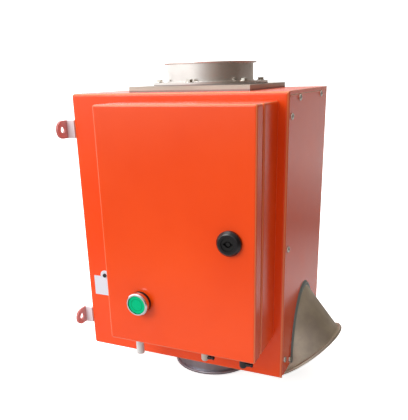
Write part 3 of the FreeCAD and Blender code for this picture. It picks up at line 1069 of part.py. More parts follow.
def entries():
    """Cable gland and elbow fittings under the control box, the cylinder's port fittings, and the grommet."""
    nut_low, nut_tall = "box_low+box_sheet", "entry_r*0.7"
    thread_long = "entry_r+box_sheet"
    gland = fuse("gland_body",
                 hexagon("gland_hex", "gland_r*1.13", "entry_drop*0.28", "gland_x", "entry_y",
                         "box_low-entry_drop*0.28"),
                 rod("gland_cap", "gland_r", "entry_drop*0.14", "gland_x", "entry_y",
                     "box_low-entry_drop*0.42"),
                 rod("gland_end", "gland_end_r", "entry_drop*0.64", "gland_x", "entry_y",
                     "box_low-entry_drop*1.06"),
                 rod("gland_thread", "entry_r", thread_long, "gland_x", "entry_y", "box_low"))
    lock_ring = cut("gland_nut",
                    hexagon("gland_nut_outside", "gland_r*1.13", nut_tall, "gland_x", "entry_y", nut_low),
                    rod("gland_nut_bore", "entry_r", nut_tall, "gland_x", "entry_y", nut_low))
    keep(group("cable_gland", gland, lock_ring), "cable_gland")
    made = []
    for i, x in enumerate(ENTRIES[1:]):
        made.append(fuse(f"elbow{i}",
                         hexagon(f"elbow_hex{i}", "elbow_r*1.4", "elbow_r*1.3", x, "entry_y",
                                 "box_low-elbow_r*1.3"),
                         rod(f"elbow_body{i}", "elbow_r", "elbow_long", x, "entry_y", "box_low-elbow_long"),
                         rod(f"elbow_arm{i}", "elbow_arm_r", "elbow_arm_long", x, "entry_y",
                             "box_low-elbow_drop", "x"),
                         rod(f"elbow_thread{i}", "entry_r", thread_long, x, "entry_y", "box_low")))
        nut_outside = hexagon(f"elbow_nut_outside{i}", "gland_r*1.13", nut_tall, x, "entry_y", nut_low)
        nut_bore = rod(f"elbow_nut_bore{i}", "entry_r", nut_tall, x, "entry_y", nut_low)
        made.append(cut(f"elbow_nut{i}", nut_outside, nut_bore))
    for i, x in enumerate(PORTS):
        low = f"{ROD_Z}+cap_r"
        made.append(fuse(f"port{i}", rod(f"port_shank{i}", "port_r", "port_deep", x, ROD_Y,
                                         f"{low}-port_deep"),
                         hexagon(f"port_hex{i}", "port_r*1.8", "port_deep*1.5", x, ROD_Y, low),
                         rod(f"port_collet{i}", "port_r*1.4", "port_deep*1.5", x, ROD_Y,
                             f"{low}+port_deep*1.5")))
    keep(group("elbow_fittings", *made), "elbow_fittings")
    grommet = new_body("cable_grommet")
    turn_to(grommet, "y")
    inner = "grommet_r*0.6"
    half = "grommet_r*0.4"
    revolve(grommet, "grommet_turn",
            [(inner, f"-housing_sheet-{half}"), ("grommet_r*1.4", f"-housing_sheet-{half}"),
             ("grommet_r*1.4", "-housing_sheet"), ("grommet_r", "-housing_sheet"),
             ("grommet_r", "box_sheet"), ("grommet_r*1.4", "box_sheet"),
             ("grommet_r*1.4", f"box_sheet+{half}"), (inner, f"box_sheet+{half}")])
    keep(move(grommet, "grommet_x", FRONT, "grommet_z"), "cable_grommet")


def tag():
    plate = fuse("tag_solid", block("tag_sheet", ("tag_x-tag_half", "tag_x+tag_half"),
                                    (f"{FRONT}-tag_thick", FRONT),
                                    ("tag_low", "tag_high")),
                 rod("tag_eye", "tag_eye_r", "tag_thick", "tag_x", FRONT, "tag_eye_z", "y"))
    hole = rod("tag_hole", "tag_screw_r", "tag_thick+2", "tag_x", f"{FRONT}+1", "tag_eye_z", "y")
    keep(cut("tag_plate", plate, hole), "tag_plate")
    keep(screws("tag_screw", TAG_SCREW, "tag_screw_r*1.8", "tag_screw_r", "tag_screw_r",
                "tag_thick+housing_sheet", "y"),
         "tag_screw")


TAG_SCREW = [("tag_x", f"{FRONT}-tag_thick", "tag_eye_z")]


# The whole part

def coil_screws():
    made = []
    low = "coil_low-rail_thick"
    for i, (x, y) in enumerate(COIL_SCREWS):
        head = rod(f"coil_screw_head{i}", "coil_screw_r*1.7", "coil_screw_r*1.3", x, y,
                   f"{low}-coil_screw_r*1.3")
        shank = rod(f"coil_screw_shank{i}", "coil_screw_r", "rail_thick+coil_skin", x, y, low)
        made.append(fuse(f"coil_screw{i}", head, shank))
    keep(group("coil_screws", *made), "coil_screws")


shell = housing_shell()
shell_holes = [
    drills("shell_cover_holes", COVER_SCREWS, "cover_screw_r", "-cover_sheet-housing_sheet-1",
           "housing_sheet+2", "x"),
    drills("shell_box_holes", BOX_SCREWS, "box_screw_r", "-housing_sheet-1", "housing_sheet+2", "y"),
    drills("shell_tag_hole", [("tag_x", FRONT, "tag_eye_z")], "tag_screw_r", "-housing_sheet-1",
           "housing_sheet+2", "y"),
    drills("shell_lug_holes", [(LEFT, y, z) for y in LUG_SCREW_Y for z in LUG_HEIGHTS], "lug_screw_r", "-1",
           "housing_sheet+2", "x"),
    drills("shell_foot_holes", [(x, y, "0") for x, y in FOOT_BOLTS], "foot_screw_r", "-1",
           "housing_sheet+2", "z"),
]
keep(cut("shell_drilled", shell, *shell_holes), "housing_shell")
side_cover()
keep(screws("side_cover_screws", COVER_SCREWS, "cover_head_r", "cover_head_tall", "cover_screw_r",
            "cover_sheet+housing_sheet", "x"), "side_cover_screws")
chute_seal()
keep(group("wall_brackets", *[wall_bracket(f"bracket_{i}", z) for i, z in enumerate(LUG_HEIGHTS)]),
     "wall_brackets")
lug_screws = [(f"{LEFT}-lug_sheet", y, z) for y in LUG_SCREW_Y for z in LUG_HEIGHTS]
keep(side_screws("wall_bracket_screws", lug_screws), "wall_bracket_screws")
keep(group("inlet_gaskets",
           ring_plate("base_gasket_ring", TOP, "base_gasket", wide="base_wide", deep="base_deep",
                      hole="tube_r"),
           ring_plate("flange_gasket_ring", BASE_TOP, "flange_gasket", outer="flange_r",
                      hole="tube_r+fit_gap")),
     "inlet_gaskets")
keep(ring_plate("inlet_base_plate", BASE_Z, "base_thick", wide="base_wide", deep="base_deep",
                hole="tube_r"),
     "inlet_base_plate")
inlet_spigot()
inlet_bolts()
scan_tube()
coil()
coil_rails()
coil_screws()
diverter_duct()
outlet_spigot()
reject_chute()
duct_screws()
chute_bolts()
flap_bearings()
flap()
flap_lever()
cylinder()
rod_fork()
control_box()
control_door()
hinges()
lock_and_button()
inside_the_box()
entries()
tag()

doc.recompute()
for thing in doc.Objects:
    if "Invalid" in thing.State or "Error" in thing.State:
        raise RuntimeError(f"{thing.Label}: {thing.State}")
for node in nodes:
    if node.Shape.isNull() or not node.Shape.isValid():
        raise RuntimeError(f"{node.Label} has no valid shape")

os.makedirs("parts", exist_ok=True)
for node in nodes:
    node.Shape.exportStep(f"parts/{node.Label}.step")
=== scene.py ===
# %% [markdown]
# # Metal separator with a reject chute
# The solids come from the drawing and already have their true sizes. This file gives each of them a finish,
# swaps the plain cover screws and hose fittings for detailed ones, and adds small things that make the metal
# look real: a weld seam, washers, a display, ribs and plugs. All is in metres, in the drawing's own frame.

# %% Load the solids
import math
import bmesh
import bpy
from mathutils import Matrix, Vector


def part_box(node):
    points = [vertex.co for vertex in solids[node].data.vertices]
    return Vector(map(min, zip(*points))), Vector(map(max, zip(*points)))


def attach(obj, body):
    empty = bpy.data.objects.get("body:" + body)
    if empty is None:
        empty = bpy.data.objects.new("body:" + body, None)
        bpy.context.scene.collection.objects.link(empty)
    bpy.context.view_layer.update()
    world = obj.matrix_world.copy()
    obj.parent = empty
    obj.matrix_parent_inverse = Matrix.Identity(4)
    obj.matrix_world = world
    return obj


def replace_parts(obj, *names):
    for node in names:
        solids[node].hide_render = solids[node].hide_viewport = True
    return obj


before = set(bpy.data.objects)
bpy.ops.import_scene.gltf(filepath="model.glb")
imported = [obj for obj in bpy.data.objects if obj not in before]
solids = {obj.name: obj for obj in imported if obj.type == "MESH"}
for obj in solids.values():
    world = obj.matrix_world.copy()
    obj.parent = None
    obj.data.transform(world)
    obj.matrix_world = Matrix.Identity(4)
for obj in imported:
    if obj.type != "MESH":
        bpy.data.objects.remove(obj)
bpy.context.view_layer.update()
MM = 0.001

# %% [markdown]
# ## Camera
# The picture was taken from a little to the right of the box and above it. The place, the turn and the lens
# were worked out from the corners of the two boxes in the picture, so the render can be laid over it. Three
# directions at right angles set the turn: ahead into the picture, across it and down it.

# %% Camera
YAW, PITCH, ROLL = (math.radians(angle) for angle in (24.44, 19.07, 1.53))
CAMERA_PLACE = (0.3072, -0.7358, 0.3905)
SENSOR_HIGH, FOCAL_LENGTH = 36, 46.27
SHIFT_X, SHIFT_Y = 0.0148, 0.1254
ahead = Vector((-math.sin(YAW) * math.cos(PITCH), math.cos(YAW) * math.cos(PITCH), -math.sin(PITCH)))
level = Vector((math.cos(YAW), math.sin(YAW), 0))
below = ahead.cross(level)
across = math.cos(ROLL) * level + math.sin(ROLL) * below
down = math.cos(ROLL) * below - math.sin(ROLL) * level

lens = bpy.data.cameras.new("photo_camera")
lens.sensor_fit = "VERTICAL"
lens.sensor_height = SENSOR_HIGH
lens.lens = FOCAL_LENGTH
lens.shift_x = SHIFT_X
lens.shift_y = SHIFT_Y
camera = bpy.data.objects.new("photo_camera", lens)
turn = Matrix((across, -down, -ahead)).transposed().to_4x4()
camera.matrix_world = Matrix.Translation(CAMERA_PLACE) @ turn
bpy.context.scene.collection.objects.link(camera)
bpy.context.scene.camera = camera
print("camera at", tuple(round(value, 3) for value in camera.location))

# %% [markdown]
# ## Floor and lamps
# A pale floor and soft light, as for a catalogue picture. One large soft lamp at the upper left of the front
# makes the left faces bright and leaves the right ones darker. A second one above lights the tops.

# %% Floor and lamps
FLOOR_Z = -0.0519
FLOOR_SIZE, FLOOR_MIDDLE_Y = 24, 6
scene = bpy.context.scene
scene.view_settings.view_transform = "Standard"


def deselect():
    """Nothing selected, so that an operator acts only on the piece being made."""
    for thing in list(bpy.context.selected_objects):
        thing.select_set(False)


deselect()
bpy.ops.mesh.primitive_plane_add(size=FLOOR_SIZE, location=(0, FLOOR_MIDDLE_Y, FLOOR_Z))
floor = bpy.context.object
floor.name = "studio_floor"


def lamp(name, place, target, size, power):
    """A square soft lamp that shines from place towards target. size is in metres, power in watts."""
    light = bpy.data.lights.new(name, "AREA")
    light.size = size
    light.energy = power
    thing = bpy.data.objects.new(name, light)
    facing = (Vector(target) - Vector(place)).to_track_quat("-Z", "Y")
    thing.matrix_world = Matrix.Translation(place) @ facing.to_matrix().to_4x4()
    scene.collection.objects.link(thing)


lamp("key_lamp", place=(-0.9, -1.7, 1.25), target=(0, 0, 0.2), size=0.9, power=14.5)
lamp("top_lamp", place=(-0.9, 0.4, 2.4), target=(0, 0.1, 0), size=2.0, power=22)

# %% [markdown]
# ## Colours and nodes
# Colours are written as on a colour chart, in sRGB hex, and one function turns them to the linear values that
# a shader works with. A second small function adds a node to a material with its settings and its links.

# %% Helpers for materials


def linear(chart_colour):
    """An sRGB hex colour as the four linear values of a shader colour."""
    values = [int(chart_colour[digit:digit + 2], 16) / 255 for digit in (1, 3, 5)]
    return [v / 12.92 if v <= 0.04045 else ((v + 0.055) / 1.055) ** 2.4 for v in values] + [1]


def add(tree, kind, values=None, links=None, **settings):
    """One node, with its settings, its socket values and the outputs that feed it."""
    made = tree.nodes.new(kind)
    for name, value in settings.items():
        setattr(made, name, value)
    for socket, value in (values or {}).items():
        made.inputs[socket].default_value = value
    for socket, source in (links or {}).items():
        tree.links.new(source, made.inputs[socket])
    return made


def start_material(name, preview):
    """An empty material with a plain preview colour. Returns the material and its node tree."""
    material = bpy.data.materials.new(name)
    material.use_nodes = True
    material.diffuse_color = linear(preview)
    material.node_tree.nodes.clear()
    return material, material.node_tree


def finish_material(tree, shader):
    """The shader feeds the material's output."""
    add(tree, "ShaderNodeOutputMaterial", links={"Surface": shader.outputs[0]})


print("white as a shader sees it:", linear("#FFFFFF"))

# %% [markdown]
# ## The room's light
# Bare steel is only as bright as what it mirrors, so the room matters. In the picture the spigot's tube is
# white at its left edge, light grey where it faces the front and dark brown at its right. So the room is
# white at the left and falls off to a dim warm tone at the right. The camera itself sees plain white behind
# the object, as on a cut-out catalogue picture.

# %% The room's tones
ROOM_STRENGTH = 1.7
BRIGHT_SIDE = Vector((-0.94, -0.20, 0.27))
ROOM_TONES = ((0.20, "#645A52"), (0.41, "#989089"), (0.52, "#ABA6A2"), (0.62, "#CBC9C8"), (0.80, "#F4F4F4"))
room = bpy.data.worlds.new("white_room")
room.use_nodes = True
scene.world = room
tree = room.node_tree
tree.nodes.clear()
way = add(tree, "ShaderNodeTexCoord")
lean = add(tree, "ShaderNodeVectorMath", {1: BRIGHT_SIDE}, {0: way.outputs["Generated"]},
           operation="DOT_PRODUCT")
share = add(tree, "ShaderNodeMapRange", {"From Min": -1.0, "From Max": 1.0}, {"Value": lean.outputs["Value"]})
shade = add(tree, "ShaderNodeValToRGB", links={"Fac": share.outputs[0]})
shade.color_ramp.elements[0].color = linear("#52463C")
shade.color_ramp.elements[1].color = linear("#FFFFFF")
for position, colour in ROOM_TONES:
    shade.color_ramp.elements.new(position).color = linear(colour)
print("room light with", len(shade.color_ramp.elements), "tones")

# %% The room as the camera sees it
WHITE = (1, 1, 1, 1)
eye = add(tree, "ShaderNodeLightPath")
seen = add(tree, "ShaderNodeMix", links={0: eye.outputs["Is Camera Ray"], 6: shade.outputs[0]},
           data_type="RGBA")
seen.inputs[7].default_value = WHITE
glow = add(tree, "ShaderNodeBackground", {"Strength": ROOM_STRENGTH}, {"Color": seen.outputs[2]})
add(tree, "ShaderNodeOutputWorld", links={"Surface": glow.outputs[0]})
print("room light of strength", ROOM_STRENGTH)

# %% [markdown]
# ## Floor paint
# A matt pale floor that runs into the white behind it. A cut-out picture shows white where the real room had
# a table and then a darker floor, and the object's gloss still mirrors both. So what the object sees is pale
# close by, dimmer further off, and pale again at a wall behind it and one at its left. They give the side
# cover and the door's left part their haze. The camera sees the same white paper everywhere.

# %% What the object mirrors in the floor
TABLE_EDGE, FLOOR_FAR = 0.45, 0.95
BACK_WALL_Y, BACK_WALL_SHARE = (0.85, 2.2), 0.55
LEFT_WALL_X, LEFT_WALL_SHARE = (-0.9, -2.6), 0.7
paper, tree = start_material("matt_white_floor", "#F7F7F7")
spot = add(tree, "ShaderNodeNewGeometry")
away = add(tree, "ShaderNodeVectorMath", links={0: spot.outputs["Position"]}, operation="LENGTH")
dim = add(tree, "ShaderNodeMapRange", {"From Min": TABLE_EDGE, "From Max": FLOOR_FAR},
          {"Value": away.outputs["Value"]})
mirrored = add(tree, "ShaderNodeMix", links={0: dim.outputs[0]}, data_type="RGBA")
mirrored.inputs[6].default_value = linear("#D2D2D2")
mirrored.inputs[7].default_value = linear("#86827E")
spot_xyz = add(tree, "ShaderNodeSeparateXYZ", links={0: spot.outputs["Position"]})
behind = add(tree, "ShaderNodeMapRange",
             {"From Min": BACK_WALL_Y[0], "From Max": BACK_WALL_Y[1], "To Max": BACK_WALL_SHARE},
             {"Value": spot_xyz.outputs["Y"]})
beside = add(tree, "ShaderNodeMapRange",
             {"From Min": LEFT_WALL_X[0], "From Max": LEFT_WALL_X[1], "To Max": LEFT_WALL_SHARE},
             {"Value": spot_xyz.outputs["X"]})
walls = add(tree, "ShaderNodeMath", links={0: behind.outputs[0], 1: beside.outputs[0]}, operation="MAXIMUM")
walled = add(tree, "ShaderNodeMix", links={0: walls.outputs[0], 6: mirrored.outputs[2]}, data_type="RGBA")
walled.inputs[7].default_value = WHITE
print("floor dims from", TABLE_EDGE, "to", FLOOR_FAR, "m, and is pale again at two walls")

# %% What the camera sees of the floor
FLOOR_LIFT = 0.8
FLOOR_CLOUDS = 3.0
cloud = add(tree, "ShaderNodeTexNoise", {"Scale": FLOOR_CLOUDS, "Detail": 2.0},
            {"Vector": spot.outputs["Position"]})
tone = add(tree, "ShaderNodeValToRGB", links={"Fac": cloud.outputs["Fac"]})
tone.color_ramp.elements[0].color = linear("#FAFAFA")
tone.color_ramp.elements[1].color = linear("#FFFFFF")
eye = add(tree, "ShaderNodeLightPath")
seen = add(tree, "ShaderNodeMix",
           links={0: eye.outputs["Is Camera Ray"], 6: walled.outputs[2], 7: tone.outputs[0]},
           data_type="RGBA")
lift = add(tree, "ShaderNodeMath", {1: FLOOR_LIFT}, {0: eye.outputs["Is Camera Ray"]}, operation="MULTIPLY")
cover = add(tree, "ShaderNodeBsdfPrincipled",
            {"Roughness": 0.8, "Specular IOR Level": 0.1, "Emission Color": WHITE},
            {"Base Color": seen.outputs[2], "Emission Strength": lift.outputs[0]})
finish_material(tree, cover)
floor.data.materials.append(paper)
print("floor painted with", paper.name)

# %% [markdown]
# ## Powder coat
# The boxes are folded from steel sheet and powder-coated in a signal orange. The powder melts in the oven to
# a film about 0.08 mm thick with a fine orange-peel wave, 2 to 3 mm from crest to crest. That gives the eye a
# strong colour under a clear gloss whose reflections are slightly broken. On the bends and cut edges a paler,
# yellower colour is mixed in as a painted highlight, for the bright lines where they catch the light. A Bevel
# node finds the sharp edges: it rounds the normal near them, and where it differs from the true normal, the
# painted highlight is mixed in. The rounded bends are found by their normal, which on a box leans between two
# axes only there. A noise's scale says how many of its waves fit in a metre.

# %% Powder coat
PEEL_WAVE = 2.4 * MM
EDGE_WIDE = 1.5 * MM
COAT_CLOUDS = 9.0
# how much of the painted edge highlight the sharp edges and the rounded bends take
SHARP_BEGINS, SHARP_FULL, SHARP_HIGHLIGHT_SHARE = 0.998, 0.93, 0.8
BEND_BEGINS, BEND_FULL, BEND_HIGHLIGHT_SHARE = 0.95, 0.78, 0.42


def powder_coat(name, light, deep, edge, shine, gloss):
    """Gloss powder coat: orange-peel waves in the surface, faint clouds in the colour, a painted highlight on
    edges.
    """
    material, tree = start_material(name, light)
    place = add(tree, "ShaderNodeTexCoord")
    cloud = add(tree, "ShaderNodeTexNoise", {"Scale": COAT_CLOUDS, "Detail": 3.0},
                {"Vector": place.outputs["Object"]})
    tone = add(tree, "ShaderNodeValToRGB", links={"Fac": cloud.outputs["Fac"]})
    tone.color_ramp.elements[0].position = 0.3
    tone.color_ramp.elements[0].color = linear(deep)
    tone.color_ramp.elements[1].position = 0.7
    tone.color_ramp.elements[1].color = linear(light)
    bend = add(tree, "ShaderNodeBevel", {"Radius": EDGE_WIDE}, samples=6)
    true_way = add(tree, "ShaderNodeNewGeometry")
    agree = add(tree, "ShaderNodeVectorMath", links={0: bend.outputs[0], 1: true_way.outputs["Normal"]},
                operation="DOT_PRODUCT")
    sharp = add(tree, "ShaderNodeMapRange",
                {"From Min": SHARP_BEGINS, "From Max": SHARP_FULL, "To Max": SHARP_HIGHLIGHT_SHARE},
                {"Value": agree.outputs["Value"]})
    lean = add(tree, "ShaderNodeVectorMath", links={0: place.outputs["Normal"]}, operation="ABSOLUTE")
    ways = add(tree, "ShaderNodeSeparateXYZ", links={0: lean.outputs[0]})
    flat = add(tree, "ShaderNodeMath", links={0: ways.outputs["X"], 1: ways.outputs["Y"]},
               operation="MAXIMUM")
    widest = add(tree, "ShaderNodeMath", links={0: flat.outputs[0], 1: ways.outputs["Z"]},
                 operation="MAXIMUM")
    rounded = add(tree, "ShaderNodeMapRange",
                  {"From Min": BEND_BEGINS, "From Max": BEND_FULL, "To Max": BEND_HIGHLIGHT_SHARE},
                  {"Value": widest.outputs[0]})
    # where the painted highlight, a paler and yellower colour, is mixed in: sharp edges and rounded bends
    rim = add(tree, "ShaderNodeMath", links={0: sharp.outputs[0], 1: rounded.outputs[0]}, operation="MAXIMUM")
    edge_highlight_mix = add(tree, "ShaderNodeMix", links={0: rim.outputs[0], 6: tone.outputs[0]}, data_type="RGBA")
    edge_highlight_mix.inputs[7].default_value = linear(edge)
    peel = add(tree, "ShaderNodeTexNoise", {"Scale": 1 / PEEL_WAVE, "Detail": 1.5},
               {"Vector": place.outputs["Object"]})
    wave = add(tree, "ShaderNodeBump", {"Strength": 0.10, "Distance": 0.3 * MM},
               {"Height": peel.outputs["Fac"]})
    haze = add(tree, "ShaderNodeMapRange", {"To Min": shine - 0.04, "To Max": shine + 0.06},
               {"Value": cloud.outputs["Fac"]})
    coat = add(tree, "ShaderNodeBsdfPrincipled", {"IOR": 1.5, "Specular IOR Level": gloss},
               {"Base Color": edge_highlight_mix.outputs[2], "Roughness": haze.outputs[0], "Normal": wave.outputs[0]})
    finish_material(tree, coat)
    return material


# FFB27A is the painted highlight colour on the edges and bends
orange_coat = powder_coat("powder_coat_orange", "#F54E0C", "#EE4708", "#FFB27A", shine=0.20, gloss=0.45)
print("powder coat:", orange_coat.name)

# %% [markdown]
# ## Faded bracket coat
# The wall brackets have the same coat, but redder and chalked by weather and handling. Where the strip is
# bent outwards, at the crank between the wall and the lug, a nearly white colour is mixed in as a painted
# reflection of the bright room on that bend. That bend lies between two X values on both brackets, and
# reaches the wall near the strip's ends, so the painted reflection is mixed in there.

# %% Faded bracket coat
CHALK_SPOTS = 60.0
CRANK_OUT, CRANK_IN = -169.6 * MM, -161.4 * MM
BRACKET_MIDDLE_Y, CRANK_FROM = -4 * MM, 96 * MM
bracket_coat, tree = start_material("powder_coat_bracket", "#C8625A")
place = add(tree, "ShaderNodeTexCoord")
chalk = add(tree, "ShaderNodeTexNoise", {"Scale": CHALK_SPOTS, "Detail": 4.0},
            {"Vector": place.outputs["Object"]})
tone = add(tree, "ShaderNodeValToRGB", links={"Fac": chalk.outputs["Fac"]})
tone.color_ramp.elements[0].position = 0.3
tone.color_ramp.elements[0].color = linear("#B5463F")
tone.color_ramp.elements[1].position = 0.7
tone.color_ramp.elements[1].color = linear("#C46057")
print("bracket coat with", int(CHALK_SPOTS), "chalky spots to a metre")

# %% The bracket's crank with a painted reflection
across_x = add(tree, "ShaderNodeSeparateXYZ", links={0: place.outputs["Object"]})
past = add(tree, "ShaderNodeMapRange", {"From Min": CRANK_OUT - 1.2 * MM, "From Max": CRANK_OUT + 1.2 * MM},
           {"Value": across_x.outputs["X"]})
before = add(tree, "ShaderNodeMapRange", {"From Min": CRANK_IN, "From Max": CRANK_IN - 0.6 * MM},
             {"Value": across_x.outputs["X"]})
along = add(tree, "ShaderNodeMath", {1: -BRACKET_MIDDLE_Y}, {0: across_x.outputs["Y"]}, operation="ADD")
off_middle = add(tree, "ShaderNodeMath", links={0: along.outputs[0]}, operation="ABSOLUTE")
end = add(tree, "ShaderNodeMapRange", {"From Min": CRANK_FROM, "From Max": CRANK_FROM + 1.5 * MM},
          {"Value": off_middle.outputs[0]})
inner = add(tree, "ShaderNodeMath", links={0: before.outputs[0], 1: end.outputs[0]}, operation="MAXIMUM")
crank_reflection_mask = add(tree, "ShaderNodeMath", links={0: past.outputs[0], 1: inner.outputs[0]}, operation="MULTIPLY")
# the nearly white #E6E4EA at the crank is a painted reflection of the bright room on that bend
crank_painted_reflection = add(tree, "ShaderNodeMix", links={0: crank_reflection_mask.outputs[0], 6: tone.outputs[0]}, data_type="RGBA")
crank_painted_reflection.inputs[7].default_value = linear("#E6E4EA")
bumps = add(tree, "ShaderNodeBump", {"Strength": 0.12, "Distance": 0.3 * MM},
            {"Height": chalk.outputs["Fac"]})
coat = add(tree, "ShaderNodeBsdfPrincipled", {"IOR": 1.5, "Roughness": 0.34, "Specular IOR Level": 0.7},
           {"Base Color": crank_painted_reflection.outputs[2], "Normal": bumps.outputs[0]})
finish_material(tree, coat)
# the pale part between these X values is the painted reflection at the crank
print("bracket coat, pale from x", round(CRANK_OUT / MM, 1), "to", round(CRANK_IN / MM, 1), "mm")

# %% [markdown]
# ## Brushed steel
# The spigots, the flanges and the chute are stainless sheet, ground with a belt. The scratches run one way:
# round a tube and along a plate. They are a few hundredths of a millimetre wide, too fine for the picture, so
# they are drawn about ten times as coarse. Metal has no colour of its own beneath its reflection, so the base
# colour is a pale grey and the roughness does the work. The chute is handled most, and has dull patches.

# %% Brushed steel
SCRATCH, SCRATCH_LONG = 0.35 * MM, 30 * MM
STAINS, DULL_PATCHES = 22.0, 14.0
DULL_SHARE = 0.7


def brushed(name, light, dark, shine, run, tilt=0.0, wear=0.5, cut=0.12, dull=None):
    """Ground steel. run is the axis across which the scratches are thin, tilt turns it about Y. wear is how
    far the stain's tones spread, cut how deep the scratches go, and dull the colour of dull patches."""
    material, tree = start_material(name, light)
    place = add(tree, "ShaderNodeTexCoord")
    tilted = add(tree, "ShaderNodeMapping", {"Rotation": (0, tilt, 0)}, {"Vector": place.outputs["Object"]})
    stretch = [1 / SCRATCH if axis in run else 1 / SCRATCH_LONG for axis in "xyz"]
    grain_way = add(tree, "ShaderNodeMapping", {"Scale": stretch}, {"Vector": tilted.outputs[0]})
    grain = add(tree, "ShaderNodeTexNoise", {"Scale": 1.0, "Detail": 2.0}, {"Vector": grain_way.outputs[0]})
    stain = add(tree, "ShaderNodeTexNoise", {"Scale": STAINS, "Detail": 4.0},
                {"Vector": place.outputs["Object"]})
    tone = add(tree, "ShaderNodeValToRGB", links={"Fac": stain.outputs["Fac"]})
    tone.color_ramp.elements[0].position = 0.5 - wear / 2
    tone.color_ramp.elements[0].color = linear(dark)
    tone.color_ramp.elements[1].position = 0.5 + wear / 2
    tone.color_ramp.elements[1].color = linear(light)
    colour = tone.outputs[0]
    if dull:
        patches = add(tree, "ShaderNodeTexNoise", {"Scale": DULL_PATCHES, "Detail": 5.0, "Roughness": 0.6},
                      {"Vector": place.outputs["Object"]})
        spread = add(tree, "ShaderNodeMapRange", {"From Min": 0.45, "From Max": 0.72, "To Max": DULL_SHARE},
                     {"Value": patches.outputs["Fac"]})
        dulled = add(tree, "ShaderNodeMix", links={0: spread.outputs[0], 6: colour}, data_type="RGBA")
        dulled.inputs[7].default_value = linear(dull)
        colour = dulled.outputs[2]
    rough = add(tree, "ShaderNodeMapRange", {"To Min": shine - 0.6 * cut, "To Max": shine + 0.8 * cut},
                {"Value": grain.outputs["Fac"]})
    lines = add(tree, "ShaderNodeBump", {"Strength": cut, "Distance": 0.1 * MM},
                {"Height": grain.outputs["Fac"]})
    metal = add(tree, "ShaderNodeBsdfPrincipled", {"Metallic": 1.0, "Anisotropic": 0.35},
                {"Base Color": colour, "Roughness": rough.outputs[0], "Normal": lines.outputs[0]})
    finish_material(tree, metal)
    return material


CHUTE_TILT = math.radians(51)
tube_steel = brushed("stainless_turned_tube", "#E0DCD8", "#CCC5BF", shine=0.27, run="z", cut=0.006)
plate_steel = brushed("stainless_ground_plate", "#BDB6AA", "#A8A094", shine=0.36, run="y", cut=0.05)
chute_steel = brushed("stainless_chute", "#E8E2D0", "#BFB8A6", shine=0.50, run="x", tilt=CHUTE_TILT,
                      dull="#A29698")
outlet_steel = brushed("stainless_outlet", "#C2C5CD", "#92959D", shine=0.42, run="z", cut=0.04)
inner_steel = brushed("stainless_inside", "#C4C0BA", "#A9A39C", shine=0.38, run="z")
zinc_steel = brushed("zinc_plated_steel", "#C7C9CB", "#A3A6A8", shine=0.36, run="xyz", wear=0.7)
print("steels:", tube_steel.name, plate_steel.name, chute_steel.name, zinc_steel.name)

# %% [markdown]
# ## Chrome, copper and aluminium
# The button's ring is polished and chrome-plated, so it is almost a mirror with a few faint handling marks.
# The windings are enamelled copper wire, and the cylinder and coil parts are drawn aluminium. A single wire
# is 0.6 mm thick, too fine for the picture, so its rings are drawn about six times as coarse.

# %% Bright metals


def bright_metal(name, light, dark, shine, spread, bump):
    """Smooth metal with small uneven spots of spread metres in its gloss."""
    material, tree = start_material(name, light)
    place = add(tree, "ShaderNodeTexCoord")
    spots = add(tree, "ShaderNodeTexNoise", {"Scale": 1 / spread, "Detail": 3.0},
                {"Vector": place.outputs["Object"]})
    tone = add(tree, "ShaderNodeValToRGB", links={"Fac": spots.outputs["Fac"]})
    tone.color_ramp.elements[0].color = linear(dark)
    tone.color_ramp.elements[1].color = linear(light)
    rough = add(tree, "ShaderNodeMapRange", {"To Min": shine * 0.6, "To Max": shine * 1.4},
                {"Value": spots.outputs["Fac"]})
    marks = add(tree, "ShaderNodeBump", {"Strength": bump, "Distance": 0.1 * MM},
                {"Height": spots.outputs["Fac"]})
    metal = add(tree, "ShaderNodeBsdfPrincipled", {"Metallic": 1.0},
                {"Base Color": tone.outputs[0], "Roughness": rough.outputs[0], "Normal": marks.outputs[0]})
    finish_material(tree, metal)
    return material


chrome = bright_metal("polished_chrome", "#E4E5E8", "#D3D5D9", shine=0.10, spread=4 * MM, bump=0.02)
bolt_steel = bright_metal("bolt_steel", "#DCD8D0", "#B2ACA2", shine=0.17, spread=1.5 * MM, bump=0.08)
drawn_aluminium = bright_metal("anodised_aluminium", "#C9CBCE", "#B4B7BB", shine=0.34, spread=2 * MM,
                               bump=0.06)
print("bright metals:", chrome.name, bolt_steel.name, drawn_aluminium.name)

# %% Wound copper
WIRE_RING = 2 * math.pi * 0.6 * MM
WAVE_LENGTH = 2 * math.pi / 20  # a wave texture's own, at scale 1
copper_wire, tree = start_material("enamelled_copper_wire", "#C27A48")
place = add(tree, "ShaderNodeTexCoord")
turns = add(tree, "ShaderNodeTexWave", {"Scale": WAVE_LENGTH / WIRE_RING, "Distortion": 0.4},
            {"Vector": place.outputs["Object"]}, wave_type="BANDS", bands_direction="Z")
# the colour follows the ridges' height: darker in the grooves between the turns, which is painted shade
tone = add(tree, "ShaderNodeValToRGB", links={"Fac": turns.outputs["Fac"]})
tone.color_ramp.elements[0].color = linear("#7A3F1E")
tone.color_ramp.elements[1].color = linear("#D08A55")
ridges = add(tree, "ShaderNodeBump", {"Strength": 0.5, "Distance": 0.3 * MM},
             {"Height": turns.outputs["Fac"]})
enamelled = add(tree, "ShaderNodeBsdfPrincipled",
                {"Metallic": 1.0, "Roughness": 0.3, "Coat Weight": 0.6, "Coat Roughness": 0.1},
                {"Base Color": tone.outputs[0], "Normal": ridges.outputs[0]})
finish_material(tree, enamelled)
print("copper rings", round(WIRE_RING / MM, 1), "mm apart:", copper_wire.name)

# %% [markdown]
# ## Plastics and rubber
# Moulded plastic has a spark-eroded grain of a few tenths of a millimetre and a soft gloss. Rubber is
# duller and its colour varies where it has been pressed. One recipe covers them with other numbers.

# %% Plastics and rubber
PLASTIC_CLOUDS = 30.0


